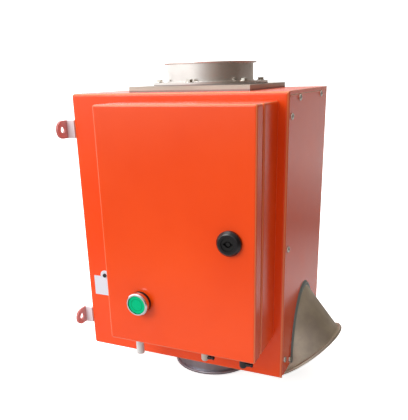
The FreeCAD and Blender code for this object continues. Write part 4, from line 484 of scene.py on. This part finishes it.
def moulded(name, light, dark, shine, grain, depth, ior=1.5):
    """Moulded plastic or rubber: grain in metres, depth is how strong it stands out."""
    material, tree = start_material(name, light)
    place = add(tree, "ShaderNodeTexCoord")
    cloud = add(tree, "ShaderNodeTexNoise", {"Scale": PLASTIC_CLOUDS, "Detail": 3.0},
                {"Vector": place.outputs["Object"]})
    tone = add(tree, "ShaderNodeValToRGB", links={"Fac": cloud.outputs["Fac"]})
    tone.color_ramp.elements[0].color = linear(dark)
    tone.color_ramp.elements[1].color = linear(light)
    pits = add(tree, "ShaderNodeTexNoise", {"Scale": 1 / grain, "Detail": 2.0},
               {"Vector": place.outputs["Object"]})
    skin = add(tree, "ShaderNodeBump", {"Strength": depth, "Distance": 0.2 * MM},
               {"Height": pits.outputs["Fac"]})
    rough = add(tree, "ShaderNodeMapRange", {"To Min": shine - 0.05, "To Max": shine + 0.05},
                {"Value": pits.outputs["Fac"]})
    body = add(tree, "ShaderNodeBsdfPrincipled", {"IOR": ior},
               {"Base Color": tone.outputs[0], "Roughness": rough.outputs[0], "Normal": skin.outputs[0]})
    finish_material(tree, body)
    return material


lock_black = moulded("black_polished_nylon", "#17161B", "#0D0C10", shine=0.20, grain=0.9 * MM, depth=0.05)
# the insert is black zinc, taken to the darkest black so it also gives the painted shade of its recess
lock_black_and_recess_shade = moulded("black_passivated_zinc", "#0A090A", "#040404", shine=0.50, grain=0.6 * MM, depth=0.1,
                    ior=1.4)
black_abs = moulded("black_glass_filled_nylon", "#1D1B20", "#111013", shine=0.30, grain=0.5 * MM, depth=0.15)
grey_abs = moulded("light_grey_abs", "#B9BCBD", "#ABAEB0", shine=0.42, grain=0.5 * MM, depth=0.12)
gland_nylon = moulded("light_grey_gland_nylon", "#DCE1E0", "#CFD4D3", shine=0.24, grain=0.5 * MM, depth=0.08,
                      ior=1.53)
white_abs = moulded("white_polycarbonate", "#EDEBE6", "#E0DDD6", shine=0.36, grain=0.6 * MM, depth=0.08)
tag_white = moulded("white_engraving_laminate", "#D8E3EE", "#CEDAE5", shine=0.30, grain=0.8 * MM, depth=0.05)
scan_white = moulded("white_acetal", "#EFEDE8", "#E6E3DC", shine=0.30, grain=1.0 * MM, depth=0.05, ior=1.48)
resin = moulded("glass_cloth_resin", "#C9B27C", "#B49A62", shine=0.40, grain=0.8 * MM, depth=0.25, ior=1.54)
black_epdm = moulded("black_epdm", "#202022", "#121214", shine=0.62, grain=0.8 * MM, depth=0.2, ior=1.52)
grey_epdm = moulded("grey_green_edging", "#7D8C8B", "#65716F", shine=0.50, grain=1.0 * MM, depth=0.15,
                    ior=1.52)
# the gasket's grey is painted shade: the white silicone is darkened for the shadow line in the gap under the
# plate
gap_shaded_silicone = moulded("dusty_silicone_gasket", "#A79C9A", "#8B7F7E", shine=0.60, grain=1.0 * MM,
                         depth=0.1, ior=1.43)
valve_grey = moulded("dark_grey_nylon", "#4A4D50", "#3B3E41", shine=0.40, grain=0.5 * MM, depth=0.15)
print("plastics and rubbers ready")

# %% [markdown]
# ## The green lens
# The push button's lens is green polycarbonate, moulded with a fine diffusing pattern, with a lamp behind it.
# It is clear at its skin and cloudy inside, so it is a saturated green with little gloss. Near its rim a
# darker ring is painted in as the shadow of the bezel, found by the distance from the lens's middle.

# %% Green lens
LENS_CELL = 1.2 * MM
green_lens, tree = start_material("green_polycarbonate_lens", "#00B27E")
place = add(tree, "ShaderNodeTexCoord")
cells = add(tree, "ShaderNodeTexVoronoi", {"Scale": 1 / LENS_CELL}, {"Vector": place.outputs["Object"]})
tone = add(tree, "ShaderNodeValToRGB", links={"Fac": cells.outputs["Distance"]})
tone.color_ramp.elements[0].color = linear("#00C488")
tone.color_ramp.elements[1].color = linear("#00B67A")
print("lens pattern of", round(LENS_CELL / MM, 1), "mm")

# %% The bezel's painted shadow on the lens
BEZEL_SHADOW_RADIUS = 7.6 * MM
lens_low, lens_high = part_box("button_lens")
lens_middle = [(a + b) / 2 for a, b in zip(lens_low, lens_high)]
flat = add(tree, "ShaderNodeVectorMath", {1: (1, 0, 1)}, {0: place.outputs["Object"]}, operation="MULTIPLY")
reach = add(tree, "ShaderNodeVectorMath", {1: (lens_middle[0], 0, lens_middle[2])}, {0: flat.outputs[0]},
            operation="DISTANCE")
shadow_in = add(tree, "ShaderNodeMapRange", {"From Min": BEZEL_SHADOW_RADIUS - 0.5 * MM, "From Max": BEZEL_SHADOW_RADIUS},
              {"Value": reach.outputs["Value"]})
shadow_out = add(tree, "ShaderNodeMapRange",
               {"From Min": BEZEL_SHADOW_RADIUS + 0.9 * MM, "From Max": BEZEL_SHADOW_RADIUS + 0.3 * MM},
               {"Value": reach.outputs["Value"]})
# this ring of darker green #009A62 is the painted shadow that the bezel casts on the lens
ring = add(tree, "ShaderNodeMath", links={0: shadow_in.outputs[0], 1: shadow_out.outputs[0]},
           operation="MULTIPLY")
lens_green_with_bezel_shadow = add(tree, "ShaderNodeMix", links={0: ring.outputs[0], 6: tone.outputs[0]}, data_type="RGBA")
lens_green_with_bezel_shadow.inputs[7].default_value = linear("#009A62")
facets = add(tree, "ShaderNodeBump", {"Strength": 0.15, "Distance": 0.2 * MM},
             {"Height": cells.outputs["Distance"]})
lens_body = add(tree, "ShaderNodeBsdfPrincipled", {"IOR": 1.58, "Roughness": 0.3, "Specular IOR Level": 0.06},
                {"Base Color": lens_green_with_bezel_shadow.outputs[2], "Normal": facets.outputs[0]})
finish_material(tree, lens_body)
# the ring in this print is the bezel's painted shadow
print("lens:", green_lens.name, "with a ring of radius", round(BEZEL_SHADOW_RADIUS / MM, 1), "mm")

# %% [markdown]
# ## Finish for every solid
# Each solid takes the finish of its real piece. The gland, the lock and the tag each have a material of
# their own, because their whites and blacks differ.

# %% Finishes on the solids
finishes = {
    orange_coat: ["housing_shell", "side_cover", "control_box", "control_door", "gutter_frame"],
    bracket_coat: ["wall_brackets"],
    tube_steel: ["inlet_spigot"],
    plate_steel: ["inlet_base_plate"],
    outlet_steel: ["outlet_spigot"],
    chute_steel: ["reject_chute"],
    inner_steel: ["diverter_duct", "flap_plate", "flap_shaft", "coil_rails"],
    zinc_steel: ["mounting_plate", "terminal_rail", "cylinder_bracket", "flap_lever", "rod_fork",
                 "piston_rod", "box_hinge_leaves", "door_hinge_leaves", "hinge_pins", "lock_cam", "door_nuts",
                 "cylinder_nut", "fork_pin", "box_screws", "duct_screws", "chute_bolts", "coil_screws",
                 "wall_bracket_screws"],
    bolt_steel: ["inlet_bolts", "side_cover_screws"],
    chrome: ["button_bezel"],
    green_lens: ["button_lens"],
    drawn_aluminium: ["cylinder_tube", "cylinder_caps", "coil_housing", "coil_lid", "flap_bearings"],
    copper_wire: ["coil_windings"],
    # the gaskets' grey is painted shade of the gap, not the silicone's own colour
    gap_shaded_silicone: ["inlet_gaskets"],
    black_epdm: ["door_gasket", "button_seal", "cable_grommet"],
    grey_epdm: ["chute_seal"],
    scan_white: ["scan_tube"],
    resin: ["coil_former"],
    tag_white: ["tag_plate"],
    lock_black: ["lock_collar"],
    # the insert's near black is its own black zinc plus painted shade of the recess
    lock_black_and_recess_shade: ["lock_insert"],
    black_abs: ["button_contact_block", "tag_screw", "elbow_fittings"],
    gland_nylon: ["cable_gland"],
    grey_abs: ["evaluation_unit", "terminal_blocks"],
    white_abs: ["power_supply"],
    valve_grey: ["solenoid_valve"],
    }


def dress(piece, material):
    """Every material slot of the piece takes this finish."""
    if not piece.data.materials:
        piece.data.materials.append(material)
    for index in range(len(piece.data.materials)):
        piece.data.materials[index] = material


for material, names in finishes.items():
    for name in names:
        dress(solids[name], material)
plain = sorted(set(solids) - {name for names in finishes.values() for name in names})
print("solids with a finish:", len(solids) - len(plain), "without:", plain)

# %% [markdown]
# ## Modelling helpers
# Each new piece starts as a primitive at its size and is shaped in edit mode. An operator works on what is
# selected, so one helper selects exactly the parts that pass a test. A second one ends a piece: its place
# goes into its mesh, its curved faces are smoothed, and it gets a finish and a body to ride on. A third one
# makes a copy of a finished piece with a mesh of its own, because screws and plugs repeat.

# %% Helpers for modelling
UP = Vector((0, 0, 1))
HAIR = 1e-6  # a thousandth of a millimetre, for finding the corners at a height


def choose(kind, test):
    """In edit mode, selects the verts, edges or faces that pass the test, and nothing else."""
    mesh = bmesh.from_edit_mesh(bpy.context.object.data)
    bpy.context.tool_settings.mesh_select_mode = (kind == "verts", kind == "edges", kind == "faces")
    for part in (*mesh.faces, *mesh.edges, *mesh.verts):
        part.select_set(False)
    chosen = [part for part in getattr(mesh, kind) if test(part)]
    for part in chosen:
        part.select_set(True)
    mesh.select_flush_mode()
    bmesh.update_edit_mesh(bpy.context.object.data)


def start(name, primitive, **sizes):
    """A primitive in edit mode, alone in the selection."""
    deselect()
    getattr(bpy.ops.mesh, f"primitive_{primitive}_add")(**sizes)
    piece = bpy.context.object
    piece.name = piece.data.name = name
    bpy.ops.object.mode_set(mode="EDIT")
    return piece


def extrude(way):
    """Draws what is selected out by a vector."""
    bpy.ops.mesh.extrude_region_move(TRANSFORM_OT_translate={"value": tuple(way)})


def close(piece, material, body, angle=32):
    """Ends a piece: place into the mesh, smooth curves, finish and body."""
    bpy.ops.mesh.select_all(action="SELECT")
    bpy.ops.mesh.normals_make_consistent(inside=False)
    bpy.ops.object.mode_set(mode="OBJECT")
    bpy.ops.object.transform_apply(location=True, rotation=True, scale=True)
    bpy.ops.object.shade_smooth_by_angle(angle=math.radians(angle))
    dress(piece, material)
    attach(piece, body)
    return piece


def stand(model, name, spot, way=UP, spin=0.0):
    """A copy of the model with its own mesh, its foot at spot and its axis along way."""
    twin = model.copy()
    twin.data = model.data.copy()
    twin.name = twin.data.name = name
    for holder in model.users_collection:
        holder.objects.link(twin)
    aimed = UP.rotation_difference(Vector(way)).to_matrix().to_4x4() @ Matrix.Rotation(spin, 4, "Z")
    twin.data.transform(Matrix.Translation(spot) @ aimed)
    return twin


def discard(model):
    """The model goes once its copies stand."""
    bpy.data.objects.remove(model)


print("modelling helpers ready")

# %% [markdown]
# ## Pan-head screws
# The side cover is held by seven M5 pan-head screws with a six-lobe socket. A cylinder gets a rounded top
# edge, its top face is inset, every second part of the inner ring is drawn in to make the lobes, and the
# socket is pushed down. The underside is inset and pushed down for the shank. They stand in for the plain
# screws of the drawing, with the same places.

# %% Pan-head screws
HEAD_SIDES = 36
HEAD_ROUND, SOCKET_DEEP = 0.62, 0.6  # shares of the head's height
SOCKET_WIDE, LOBE_IN = 0.42, 0.72  # shares of the head's radius and of the socket's


def pan_head(name, radius, tall, shank_r, shank_long, material):
    """One screw with its head from z 0 to tall and its shank below. It rides on the housing."""
    piece = start(name, "cylinder", vertices=HEAD_SIDES, radius=radius, depth=tall, location=(0, 0, tall / 2))
    edge = tall / 2 - HAIR
    choose("edges", lambda e: all(v.co.z > edge for v in e.verts))
    bpy.ops.mesh.bevel(offset=tall * HEAD_ROUND, segments=5, affect="EDGES")
    choose("faces", lambda f: f.normal.z > 0.99)
    bpy.ops.mesh.inset(thickness=radius - tall * HEAD_ROUND - radius * SOCKET_WIDE)
    ring = {v.index for v in bmesh.from_edit_mesh(piece.data).verts if v.select}
    choose("verts", lambda v: v.index in ring and math.cos(6 * math.atan2(v.co.y, v.co.x)) < -0.4)
    bpy.ops.transform.resize(value=(LOBE_IN, LOBE_IN, 1))
    choose("faces", lambda f: all(v.index in ring for v in f.verts))
    extrude((0, 0, -tall * SOCKET_DEEP))
    choose("faces", lambda f: f.normal.z < -0.99 and len(f.verts) == HEAD_SIDES
           and f.calc_center_median().z < -edge)
    bpy.ops.mesh.inset(thickness=radius - shank_r)
    extrude((0, 0, -shank_long))
    return close(piece, material, "housing")


COVER_X = 142 * MM
SCREW_PLACES = ((-96.5, 23), (-96.5, 180.25), (-96.5, 343.25), (-60, 363), (60, 363), (-69.5, 9.5),
                (69.5, 9.5))
cover_screw = pan_head("cover_screw_model", radius=4.0 * MM, tall=2.4 * MM, shank_r=2.5 * MM,
                       shank_long=4 * MM, material=bolt_steel)
cover_screws = [stand(cover_screw, f"cover_screw_{i}", (COVER_X, y * MM, z * MM), (1, 0, 0), spin=i * 0.7)
                for i, (y, z) in enumerate(SCREW_PLACES)]
for screw in cover_screws:
    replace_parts(screw, "side_cover_screws")
discard(cover_screw)
print(len(cover_screws), "screws on the side cover, head", round(cover_screws[0].dimensions.y / MM, 1), "mm")

# %% [markdown]
# ## Washers and bolt caps
# Six hexagon bolts hold the spigot's flange. Each sits on a washer, and a real head has a chamfered top with
# a shallow dish. The washer is a cylinder with both faces inset and bridged, the cap a flat six-sided cone.

# %% Washers and bolt caps


def washer(name, inner, outer, tall, material):
    """A flat ring with broken edges, its underside at z 0."""
    piece = start(name, "cylinder", vertices=32, radius=outer, depth=tall, location=(0, 0, tall / 2))
    choose("faces", lambda f: abs(f.normal.z) > 0.99)
    bpy.ops.mesh.inset(thickness=outer - inner)
    bpy.ops.mesh.bridge_edge_loops()
    choose("edges", lambda e: e.calc_face_angle(0) > 1.2)
    bpy.ops.mesh.bevel(offset=tall * 0.25, segments=2, affect="EDGES")
    return close(piece, material, "housing")


def bolt_cap(name, radius, tall, material):
    """The chamfered top of a hexagon head, with a shallow dish in its middle."""
    piece = start(name, "cone", vertices=6, radius1=radius, radius2=radius * 0.86, depth=tall,
                  location=(0, 0, tall / 2))
    choose("faces", lambda f: f.normal.z > 0.99)
    bpy.ops.mesh.inset(thickness=radius * 0.30)
    bpy.ops.mesh.subdivide(number_cuts=1)
    choose("faces", lambda f: f.normal.z > 0.99 and f.calc_center_median().length < radius * 0.45)
    extrude((0, 0, -tall * 0.5))
    return close(piece, material, "housing", angle=20)


FLANGE_TOP, HEAD_TOP, BOLT_CIRCLE = 383 * MM, 386.5 * MM, 71 * MM
FIRST_BOLT, BOLT_STEP = 30, 60
ring_model = washer("washer_model", inner=4.55 * MM, outer=5.9 * MM, tall=0.7 * MM, material=bolt_steel)
cap_model = bolt_cap("cap_model", radius=4.6 * MM, tall=0.5 * MM, material=bolt_steel)
for number in range(6):
    around = math.radians(FIRST_BOLT + BOLT_STEP * number)
    spot = (BOLT_CIRCLE * math.cos(around), BOLT_CIRCLE * math.sin(around))
    stand(ring_model, f"bolt_washer_{number}", (*spot, FLANGE_TOP))
    stand(cap_model, f"bolt_cap_{number}", (*spot, HEAD_TOP))
discard(ring_model)
discard(cap_model)
print("6 washers and 6 bolt caps on a circle of", round(2 * BOLT_CIRCLE / MM), "mm")

# %% [markdown]
# ## Weld seam
# The spigot's tube is welded to its flange. A hand-made seam is a chain of small overlapping drops. A torus
# gives the seam's round, and every third ring of it is swollen a little to make the drops.

# %% Weld seam
WELD_RADIUS, WELD_THICK = 59.8 * MM, 1.1 * MM
WELD_RINGS = 180
inlet_weld = start("inlet_weld_seam", "torus", major_segments=WELD_RINGS, minor_segments=10,
                   major_radius=WELD_RADIUS, minor_radius=WELD_THICK, location=(0, 0, FLANGE_TOP))
RING_STEP = 2 * math.pi / WELD_RINGS
choose("verts", lambda v: round(math.atan2(v.co.y, v.co.x) / RING_STEP) % 3 == 0)
bpy.ops.transform.shrink_fatten(value=WELD_THICK * 0.22)
close(inlet_weld, tube_steel, "housing", angle=60)
print("weld seam round the inlet,", len(inlet_weld.data.polygons), "faces")

# %% [markdown]
# ## Inside the control box
# The door opens, so its inside is finished too. The evaluation unit gets a dark display glass in its window,
# a row of keys under it and pluggable screw terminals in its eight sockets. All are low blocks with rounded
# front edges and a slightly sunk face. Cables are left out, as in the drawing.

# %% Padded blocks
OUTWARD = (0, -1, 0)
display_glass = moulded("smoked_display_glass", "#10181A", "#0A0F11", shine=0.12, grain=2 * MM, depth=0.01,
                        ior=1.52)
key_grey = moulded("blue_grey_keys", "#5F7480", "#536672", shine=0.45, grain=0.5 * MM, depth=0.1)
plug_green = moulded("green_nylon_plug", "#2F7D4F", "#276B43", shine=0.42, grain=0.5 * MM, depth=0.12)


def padded_block(name, wide, high, proud, rim, material):
    """A low block with its front edges rounded by rim, its foot at z 0 and its face at proud."""
    piece = start(name, "cube", size=1, scale=(wide, high, proud), location=(0, 0, proud / 2))
    bpy.ops.object.mode_set(mode="OBJECT")
    bpy.ops.object.transform_apply(location=True, rotation=True, scale=True)
    bpy.ops.object.mode_set(mode="EDIT")
    choose("edges", lambda e: max(v.co.z for v in e.verts) > proud * 0.9)
    bpy.ops.mesh.bevel(offset=rim, segments=3, affect="EDGES")
    choose("faces", lambda f: f.normal.z > 0.99)
    bpy.ops.mesh.inset(thickness=rim * 1.5)
    extrude((0, 0, -rim * 0.5))
    return close(piece, material, "housing")


print("finishes for the unit:", display_glass.name, key_grey.name, plug_green.name)

# %% Display, keys and plugs
UNIT_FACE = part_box("evaluation_unit")[0][1]
GLASS_SUNK, GLASS_Z = 1.0 * MM, 315 * MM
glass_model = padded_block("glass_model", wide=58 * MM, high=28.4 * MM, proud=0.9 * MM, rim=0.3 * MM,
                           material=display_glass)
stand(glass_model, "display_glass", (0, UNIT_FACE + GLASS_SUNK, GLASS_Z), OUTWARD)
discard(glass_model)

KEYS, FIRST_KEY_X, KEY_STEP, KEYS_Z = 5, -28, 14, 284 * MM
key_model = padded_block("key_model", wide=9 * MM, high=6 * MM, proud=1.2 * MM, rim=0.5 * MM,
                         material=key_grey)
for number in range(KEYS):
    x = (FIRST_KEY_X + KEY_STEP * number) * MM
    stand(key_model, f"unit_key_{number}", (x, UNIT_FACE, KEYS_Z), OUTWARD)
discard(key_model)

PLUGS, FIRST_PLUG_X, PLUG_STEP, PLUG_SUNK, PLUGS_Z = 8, -39, 11, 3.8 * MM, 160 * MM
plug_model = padded_block("plug_model", wide=6.4 * MM, high=9.4 * MM, proud=5.2 * MM, rim=0.5 * MM,
                          material=plug_green)
for number in range(PLUGS):
    x = (FIRST_PLUG_X + PLUG_STEP * number) * MM
    stand(plug_model, f"unit_plug_{number}", (x, UNIT_FACE + PLUG_SUNK, PLUGS_Z), OUTWARD)
discard(plug_model)
print("display,", KEYS, "keys and", PLUGS, "plugs on the evaluation unit")

# %% [markdown]
# ## Terminal screws and the supply's lamp
# Six terminal blocks have four screw holes each, with a small slotted screw at the bottom. The power supply
# has five such screws and a green lamp. Two bisecting planes mark the slot, and the strip between them is
# pushed down.

# %% Slotted screw


def slotted_screw(name, radius, tall, material):
    """A small flat screw head with a straight slot, its foot at z 0."""
    piece = start(name, "cylinder", vertices=24, radius=radius, depth=tall, location=(0, 0, tall / 2))
    choose("edges", lambda e: all(v.co.z > tall / 2 - HAIR for v in e.verts))
    bpy.ops.mesh.bevel(offset=tall * 0.2, segments=2, affect="EDGES")
    for side in (-1, 1):
        bpy.ops.mesh.select_all(action="SELECT")
        bpy.ops.mesh.bisect(plane_co=(0, side * radius * 0.16, 0), plane_no=(0, 1, 0))
    choose("faces", lambda f: f.normal.z > 0.99 and abs(f.calc_center_median().y) < radius * 0.15)
    extrude((0, 0, -tall * 0.4))
    return close(piece, material, "housing")


small_screw = slotted_screw("small_screw_model", radius=1.6 * MM, tall=1.2 * MM, material=bolt_steel)
print("slotted screw with", len(small_screw.data.polygons), "faces")

# %% Terminal screws
BLOCKS, FIRST_BLOCK_X, BLOCK_STEP = 6, 4.75, 5.5
TERMINAL_FLOOR, TERMINALS_Z, HALF_BLOCK = -140 * MM, 103, 21
SCREW_HEIGHTS = (-0.8, -0.45, 0.45, 0.8)  # shares of half a block
terminal_spots = [((FIRST_BLOCK_X + BLOCK_STEP * block) * MM, TERMINAL_FLOOR,
                   (TERMINALS_Z + HALF_BLOCK * height) * MM)
                  for block in range(BLOCKS) for height in SCREW_HEIGHTS]
for number, spot in enumerate(terminal_spots):
    stand(small_screw, f"terminal_screw_{number}", spot, OUTWARD, spin=0.4 * number)
print(len(terminal_spots), "terminal screws")

# %% The supply's screws and lamp
SUPPLY_SCREWS, SUPPLY_STEP, SUPPLY_STRIP = 5, 7, 8 * MM
LAMP_IN, LAMP_UP = 8 * MM, 12 * MM
supply_low, supply_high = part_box("power_supply")
for number in range(SUPPLY_SCREWS):
    x = supply_low[0] + (SUPPLY_STEP + SUPPLY_STEP * number) * MM
    spot = (x, supply_low[1], supply_high[2] - SUPPLY_STRIP)
    stand(small_screw, f"supply_screw_{number}", spot, OUTWARD, spin=number)
discard(small_screw)
lamp_model = slotted_screw("lamp_model", radius=2.0 * MM, tall=1.4 * MM, material=green_lens)
stand(lamp_model, "supply_lamp", (supply_low[0] + LAMP_IN, supply_low[1], supply_low[2] + LAMP_UP), OUTWARD)
discard(lamp_model)
print(SUPPLY_SCREWS, "supply screws and a lamp")

# %% [markdown]
# ## Ribbed gland cap
# The cable gland's cap is turned by hand, so it has ribs all round. Every second side face of a cylinder is
# pushed out by a fraction of a millimetre.

# %% Ribbed gland cap
CAP_SIDES, CAP_RADIUS, RIB_PROUD = 48, 9.5 * MM, 0.35 * MM
CAP_LOW, CAP_TALL = 45.2 * MM, 4.4 * MM
CAP_SIDE_ANGLE = 2 * math.pi / CAP_SIDES
gland_low, gland_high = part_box("cable_gland")
gland_x = (gland_low[0] + gland_high[0]) / 2
gland_y = (gland_low[1] + gland_high[1]) / 2
ribs = start("gland_cap_ribs", "cylinder", vertices=CAP_SIDES, radius=CAP_RADIUS, depth=CAP_TALL,
             location=(gland_x, gland_y, CAP_LOW + CAP_TALL / 2))
choose("faces", lambda f: abs(f.normal.z) < 0.1
       and round(math.atan2(f.normal.y, f.normal.x) / CAP_SIDE_ANGLE) % 2)
bpy.ops.mesh.extrude_faces_move(TRANSFORM_OT_shrink_fatten={"value": RIB_PROUD})
choose("edges", lambda e: e.calc_face_angle(0) > 1.2 and abs(e.verts[0].co.z) > CAP_TALL * 0.49
       and abs(e.verts[1].co.z) > CAP_TALL * 0.49)
bpy.ops.mesh.bevel(offset=0.15 * MM, segments=1, affect="EDGES")
close(ribs, gland_nylon, "housing")
print("gland cap with", len(ribs.data.polygons), "faces")

# %% [markdown]
# ## Elbows, their nuts and the cylinder's port fittings
# Push-in fittings are turned or moulded round bodies with a hexagon for the spanner and a release ring for
# the hose. The left elbow is light grey with a black arm, the right one is all black. Each body is drawn up
# step by step from a circle: an extrusion gives the next height, a resize the next radius. A hexagon has six
# sides instead of many, and the parts of one moulding are joined. They stand for the drawing's plain solids.

# %% Turned shapes
nickel_brass = bright_metal("nickel_plated_brass", "#CBC6BA", "#ADA797", shine=0.24, spread=2 * MM, bump=0.05)
pale_nylon = moulded("pale_grey_nylon", "#CDCABF", "#BDBAB0", shine=0.34, grain=0.5 * MM, depth=0.12,
                     ior=1.53)


def turned(name, steps, material, sides=24, mouth=None):
    """A turned shape: each step is a height and a radius in mm, from the foot up. mouth is the radius and
    the depth of a hole at the top, in mm too."""
    (height, radius), *rest = steps
    piece = start(name, "circle", vertices=sides, radius=radius * MM, fill_type="NGON",
                  location=(0, 0, height * MM))
    for high, wide in rest:
        extrude((0, 0, (high - height) * MM))
        bpy.ops.transform.resize(value=(wide / radius, wide / radius, 1))
        height, radius = high, wide
    if mouth:
        bpy.ops.mesh.inset(thickness=(radius - mouth[0]) * MM)
        extrude((0, 0, -mouth[1] * MM))
    return close(piece, material, "housing")


def joined(*parts):
    """Several finished parts as one piece, named for the first."""
    deselect()
    for part in parts:
        part.select_set(True)
    bpy.context.view_layer.objects.active = parts[0]
    bpy.ops.object.join()
    return parts[0]


def fit(model, name, spot, way=UP):
    """The model's one copy at its spot, where it stands for the drawing's fitting. The model goes."""
    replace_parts(stand(model, name, spot, way), "elbow_fittings")
    discard(model)


print("finishes for the fittings:", pale_nylon.name, nickel_brass.name)

# %% Elbows under the control box
ELBOWS_X, ENTRY_Y, BOX_FLOOR = (47 * MM, 101 * MM), -148 * MM, 60 * MM
ARM_DROP = 25 * MM
ELBOW_BODY = [(-30.5, 2.4), (-30, 3.6), (-29.2, 4.3), (-27.8, 4.8), (-26, 5), (-6.5, 5)]
ELBOW_GRIP = [(-6.5, 6.3), (-6, 7), (-0.5, 7), (0, 6.3)]
ELBOW_THREAD = [(0, 6), (7, 6), (7.5, 5.3)]
ELBOW_ARM = [(3.5, 2.6), (8.6, 2.6), (9, 2.1), (10.8, 2.1), (11, 2.7), (12.6, 2.7), (13, 2.4)]
LOCK_NUT = [(1.5, 10.2), (2, 10.7), (5.2, 10.7), (5.7, 10.2)]
for number, (nylon, body_slot) in enumerate(((pale_nylon, "grey_plastic"), (black_abs, "black_plastic"))):
    spot = Vector((ELBOWS_X[number], ENTRY_Y, BOX_FLOOR))
    body = turned("elbow_model", ELBOW_BODY, nylon)
    grip = turned("grip_model", ELBOW_GRIP, nylon, sides=6)
    thread = turned("thread_model", ELBOW_THREAD, nylon)
    fit(joined(body, grip, thread), f"push_in_elbow_{number}", spot)
    arm = turned("arm_model", ELBOW_ARM, black_abs, mouth=(1.9, 6))
    fit(arm, f"elbow_release_ring_{number}", spot - ARM_DROP * UP, (1, 0, 0))
    nut = turned("nut_model", LOCK_NUT, nylon, sides=6)
    fit(nut, f"elbow_lock_nut_{number}", spot)
print("2 elbows with release rings and lock nuts")

# %% Port fittings on the air cylinder
PORTS_X, PORT_Y, PORT_FOOT = (-96 * MM, -10 * MM), -81 * MM, 57.5 * MM
PORT_SHANK = [(0, 2.5), (5, 2.5)]
PORT_GRIP = [(5, 4.1), (5.4, 4.5), (12.1, 4.5), (12.5, 4.1)]
PORT_COLLAR = [(12.5, 3.5), (16, 3.5), (16.4, 2.9), (18, 2.9), (18.3, 3.4), (20, 3.4)]
for number, x in enumerate(PORTS_X):
    shank = turned("shank_model", PORT_SHANK, nickel_brass)
    grip = turned("port_grip_model", PORT_GRIP, nickel_brass, sides=6)
    fit(joined(shank, grip), f"port_fitting_{number}", (x, PORT_Y, PORT_FOOT))
    collar = turned("collar_model", PORT_COLLAR, black_abs, mouth=(2.0, 6))
    fit(collar, f"port_release_ring_{number}", (x, PORT_Y, PORT_FOOT))
print("2 port fittings with release rings")
